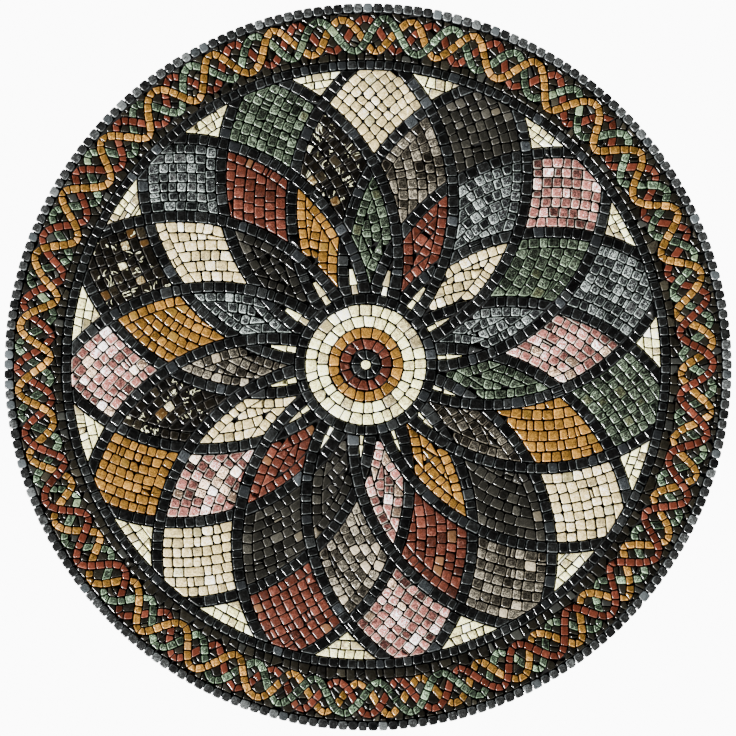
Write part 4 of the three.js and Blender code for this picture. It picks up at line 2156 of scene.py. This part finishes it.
@dataclass(frozen=True)
class Bed:
    """The mortar that holds the stones: flat behind, and up between them in front."""

    name: str = "setting_bed_mortar"
    below_face: float = 3.0
    rings: int = 44
    crowding: float = 0.8
    segments: int = 160
    squeezed: float = 2.2
    rough: float = 0.25
    weave: float = 0.12
    joint_start: float = 1.0
    back_chart: float = 0.2929
    front_chart: float = 0.7071
    chart_reach: float = 0.275
    rim_reach: float = 0.276
    rim_band: float = 0.003
    rim_rows: int = 5

    def _rows(self, face: float) -> list[tuple[float, float, float]]:
        """The rings of points: out over the back, up the rim and in over the front.

        Args:
            face: The height of the mortar in the joints.

        Returns:
            The radius, height and roughness of each ring.
        """
        radii = [PLAN.bed_radius * (i / self.rings) ** self.crowding for i in range(1, self.rings + 1)]
        edge, bulge = PLAN.bed_radius, PLAN.bed_radius + self.squeezed
        rim = [
            (edge, 2.6, 0.2),
            (edge, PLAN.stone_root - 0.6, 0.2),
            (bulge, PLAN.stone_root + 0.9, self.rough),
            (bulge, face - 1.2, self.rough),
            (bulge - 0.7, face - 0.1, self.rough),
        ]
        back = [(radius, 0.0, 0.0) for radius in radii]
        return back + rim + [(radius, face, self.rough) for radius in reversed(radii)]

    def _point(
        self, chance: random.Random, row: tuple[float, float, float], step: int, degrees: float
    ) -> tuple[tuple[float, ...], Point]:
        """Sets one point of the bed.

        Args:
            chance: The source of chance.
            row: The radius, height and roughness of its ring.
            step: The ring's number from the rim's first one, below nought on the back.
            degrees: Its angle clockwise from the top.

        Returns:
            The point in metres, and its place on the chart.
        """
        radius, height, rough = row
        front, rim = step >= 0, 0 <= step < self.rim_rows
        away = radius - (abs(chance.gauss(0, rough)) if rim else 0.0)
        x, z = polar(away, degrees)
        y = -(height + chance.uniform(-1, 1) * rough) if front else -self.weave * chance.random() ** 3
        spread = min(away / PLAN.bed_radius, 1.0) * self.chart_reach
        if rim:
            spread = self.rim_reach + self.rim_band * (self.rim_rows - step)
        middle = self.front_chart if front else self.back_chart
        return (x * MM, y * MM, z * MM), polar(spread, degrees, (middle, middle))

    def _faces(self, rows: int) -> list[tuple[int, ...]]:
        """Joins the rings of points into a closed skin, with a point in the middle of each side.

        Args:
            rows: The number of rings.

        Returns:
            The corners of each face, by number.
        """
        faces: list[tuple[int, ...]] = []
        for k in range(self.segments):
            j = (k + 1) % self.segments
            faces.append((0, 1 + k, 1 + j))
            for low in range(1, 1 + (rows - 1) * self.segments, self.segments):
                high = low + self.segments
                faces.append((low + k, high + k, high + j, low + j))
            last = 1 + (rows - 1) * self.segments
            faces.append((last + k, last + self.segments, last + j))
        return faces

    def build(self, finisher: Finisher) -> None:
        """Makes the bed as one closed body.

        Args:
            finisher: Where the material comes from.
        """
        chance = random.Random("bed")
        face = PLAN.face - self.below_face
        rows = self._rows(face)
        points = [((0.0, 0.0, 0.0), (self.back_chart, self.back_chart))]
        for number, row in enumerate(rows):
            for k in range(self.segments):
                points.append(self._point(chance, row, number - self.rings, 360.0 * k / self.segments))
        points.append(((0.0, -face * MM, 0.0), (self.front_chart, self.front_chart)))
        vertices, charts = zip(*points)
        faces = self._faces(len(rows))
        piece = new_object(self.name, list(vertices), faces, finisher.mortar())
        order = [corner for corners in faces for corner in corners]
        start = (PLAN.stone_root - self.joint_start) * MM
        # Marks the front, up in the joints, where the material paints shade over the mortar.
        joint = [1.0 if -vertex[1] > start else 0.0 for vertex in vertices]
        dress(piece.data, np.array(charts)[order], {"joint": np.array(joint)})
        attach(piece, BODY)
        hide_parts("setting_bed")
        LOG.info("%s: %d faces", self.name, len(faces))


# ---- Studio ----


@dataclass(frozen=True)
class Lamp:
    """One far, soft light: where it stands from the panel, how wide it looks and how strong it is."""

    name: str
    towards: tuple[float, float, float]
    spread: float
    strength: float


@dataclass(frozen=True)
class Studio:
    """The camera, the lights and the floor."""

    distance: float = 2.0
    frame_width: float = 0.736
    sensor: float = 36.0
    aim: tuple[float, float, float] = (0.0, 0.0, -0.001)
    lamps: tuple[Lamp, ...] = (
        Lamp("key_light", (-0.66, -0.49, -0.6), 9.0, 30.0),
        Lamp("back_light", (0.5, 0.8, 0.45), 20.0, 12.0),
    )
    lamp_distance: float = 3.0
    seen_strength: float = 11.0
    lit_strength: float = 0.07
    floor_height: float = -2.2
    floor_corners: tuple[Point, ...] = ((-2.0, -1.4), (2.0, -1.4), (2.0, 2.0), (-2.0, 2.0))

    def build(self, finisher: Finisher) -> None:
        """Sets up the studio.

        Args:
            finisher: Where the floor's material comes from.
        """
        self._camera()
        self._world()
        for lamp in self.lamps:
            self._lamp(lamp)
        self._floor(finisher)

    def _camera(self) -> None:
        """Puts the camera square in front of the face."""
        camera = bpy.data.cameras.new("camera")
        camera.sensor_width = self.sensor
        camera.lens = self.sensor * self.distance / self.frame_width
        holder = bpy.data.objects.new("camera", camera)
        holder.location = (self.aim[0], -self.distance, self.aim[2])
        holder.rotation_euler = (math.pi / 2, 0.0, 0.0)
        bpy.context.scene.collection.objects.link(holder)
        bpy.context.scene.camera = holder

    def _world(self) -> None:
        """Surrounds the studio with even pale light."""
        world = bpy.data.worlds.new("studio")
        world.use_nodes = True
        sheet = Sheet(world.node_tree)
        path = sheet.add("ShaderNodeLightPath", {})
        lit, seen = (
            sheet.add("ShaderNodeBackground", {"Color": (1.0, 1.0, 1.0, 1.0), "Strength": strength})
            for strength in (self.lit_strength, self.seen_strength)
        )
        backgrounds = {0: path.outputs["Is Camera Ray"], 1: lit.outputs[0], 2: seen.outputs[0]}
        both = sheet.add("ShaderNodeMixShader", backgrounds)
        sheet.add("ShaderNodeOutputWorld", {"Surface": both.outputs[0]})
        bpy.context.scene.world = world

    def _lamp(self, lamp: Lamp) -> None:
        """Sets up one light, turned towards the panel.

        Args:
            lamp: The light.
        """
        light = bpy.data.lights.new(lamp.name, "SUN")
        light.angle = math.radians(lamp.spread)
        light.energy = lamp.strength
        holder = bpy.data.objects.new(lamp.name, light)
        holder.location = Vector(lamp.towards) * self.lamp_distance
        holder.rotation_euler = (-Vector(lamp.towards)).to_track_quat("-Z", "Y").to_euler()
        bpy.context.scene.collection.objects.link(holder)

    def _floor(self, finisher: Finisher) -> None:
        """Lays the floor well below the panel.

        Args:
            finisher: Where the material comes from.
        """
        corners = [(*corner, self.floor_height) for corner in self.floor_corners]
        floor = new_object("floor", corners, [(0, 1, 2, 3)], finisher.floor())


def main() -> None:
    """Builds the panel, part by part, and the studio round it."""
    logging.basicConfig(level=logging.INFO, format="%(message)s")
    finisher = Finisher(Effects())
    rosette = Rosette()
    Studio().build(finisher)
    Bed().build(finisher)
    OuterCourse().build(finisher)
    Braid().build(finisher)
    FieldBorder(rosette).build(finisher)
    PetalLines(rosette).build(finisher)
    for ring in Ring:
        Petals(ring, rosette).build(finisher)
    Roundel().build(finisher)


if __name__ == "__main__":
    main()
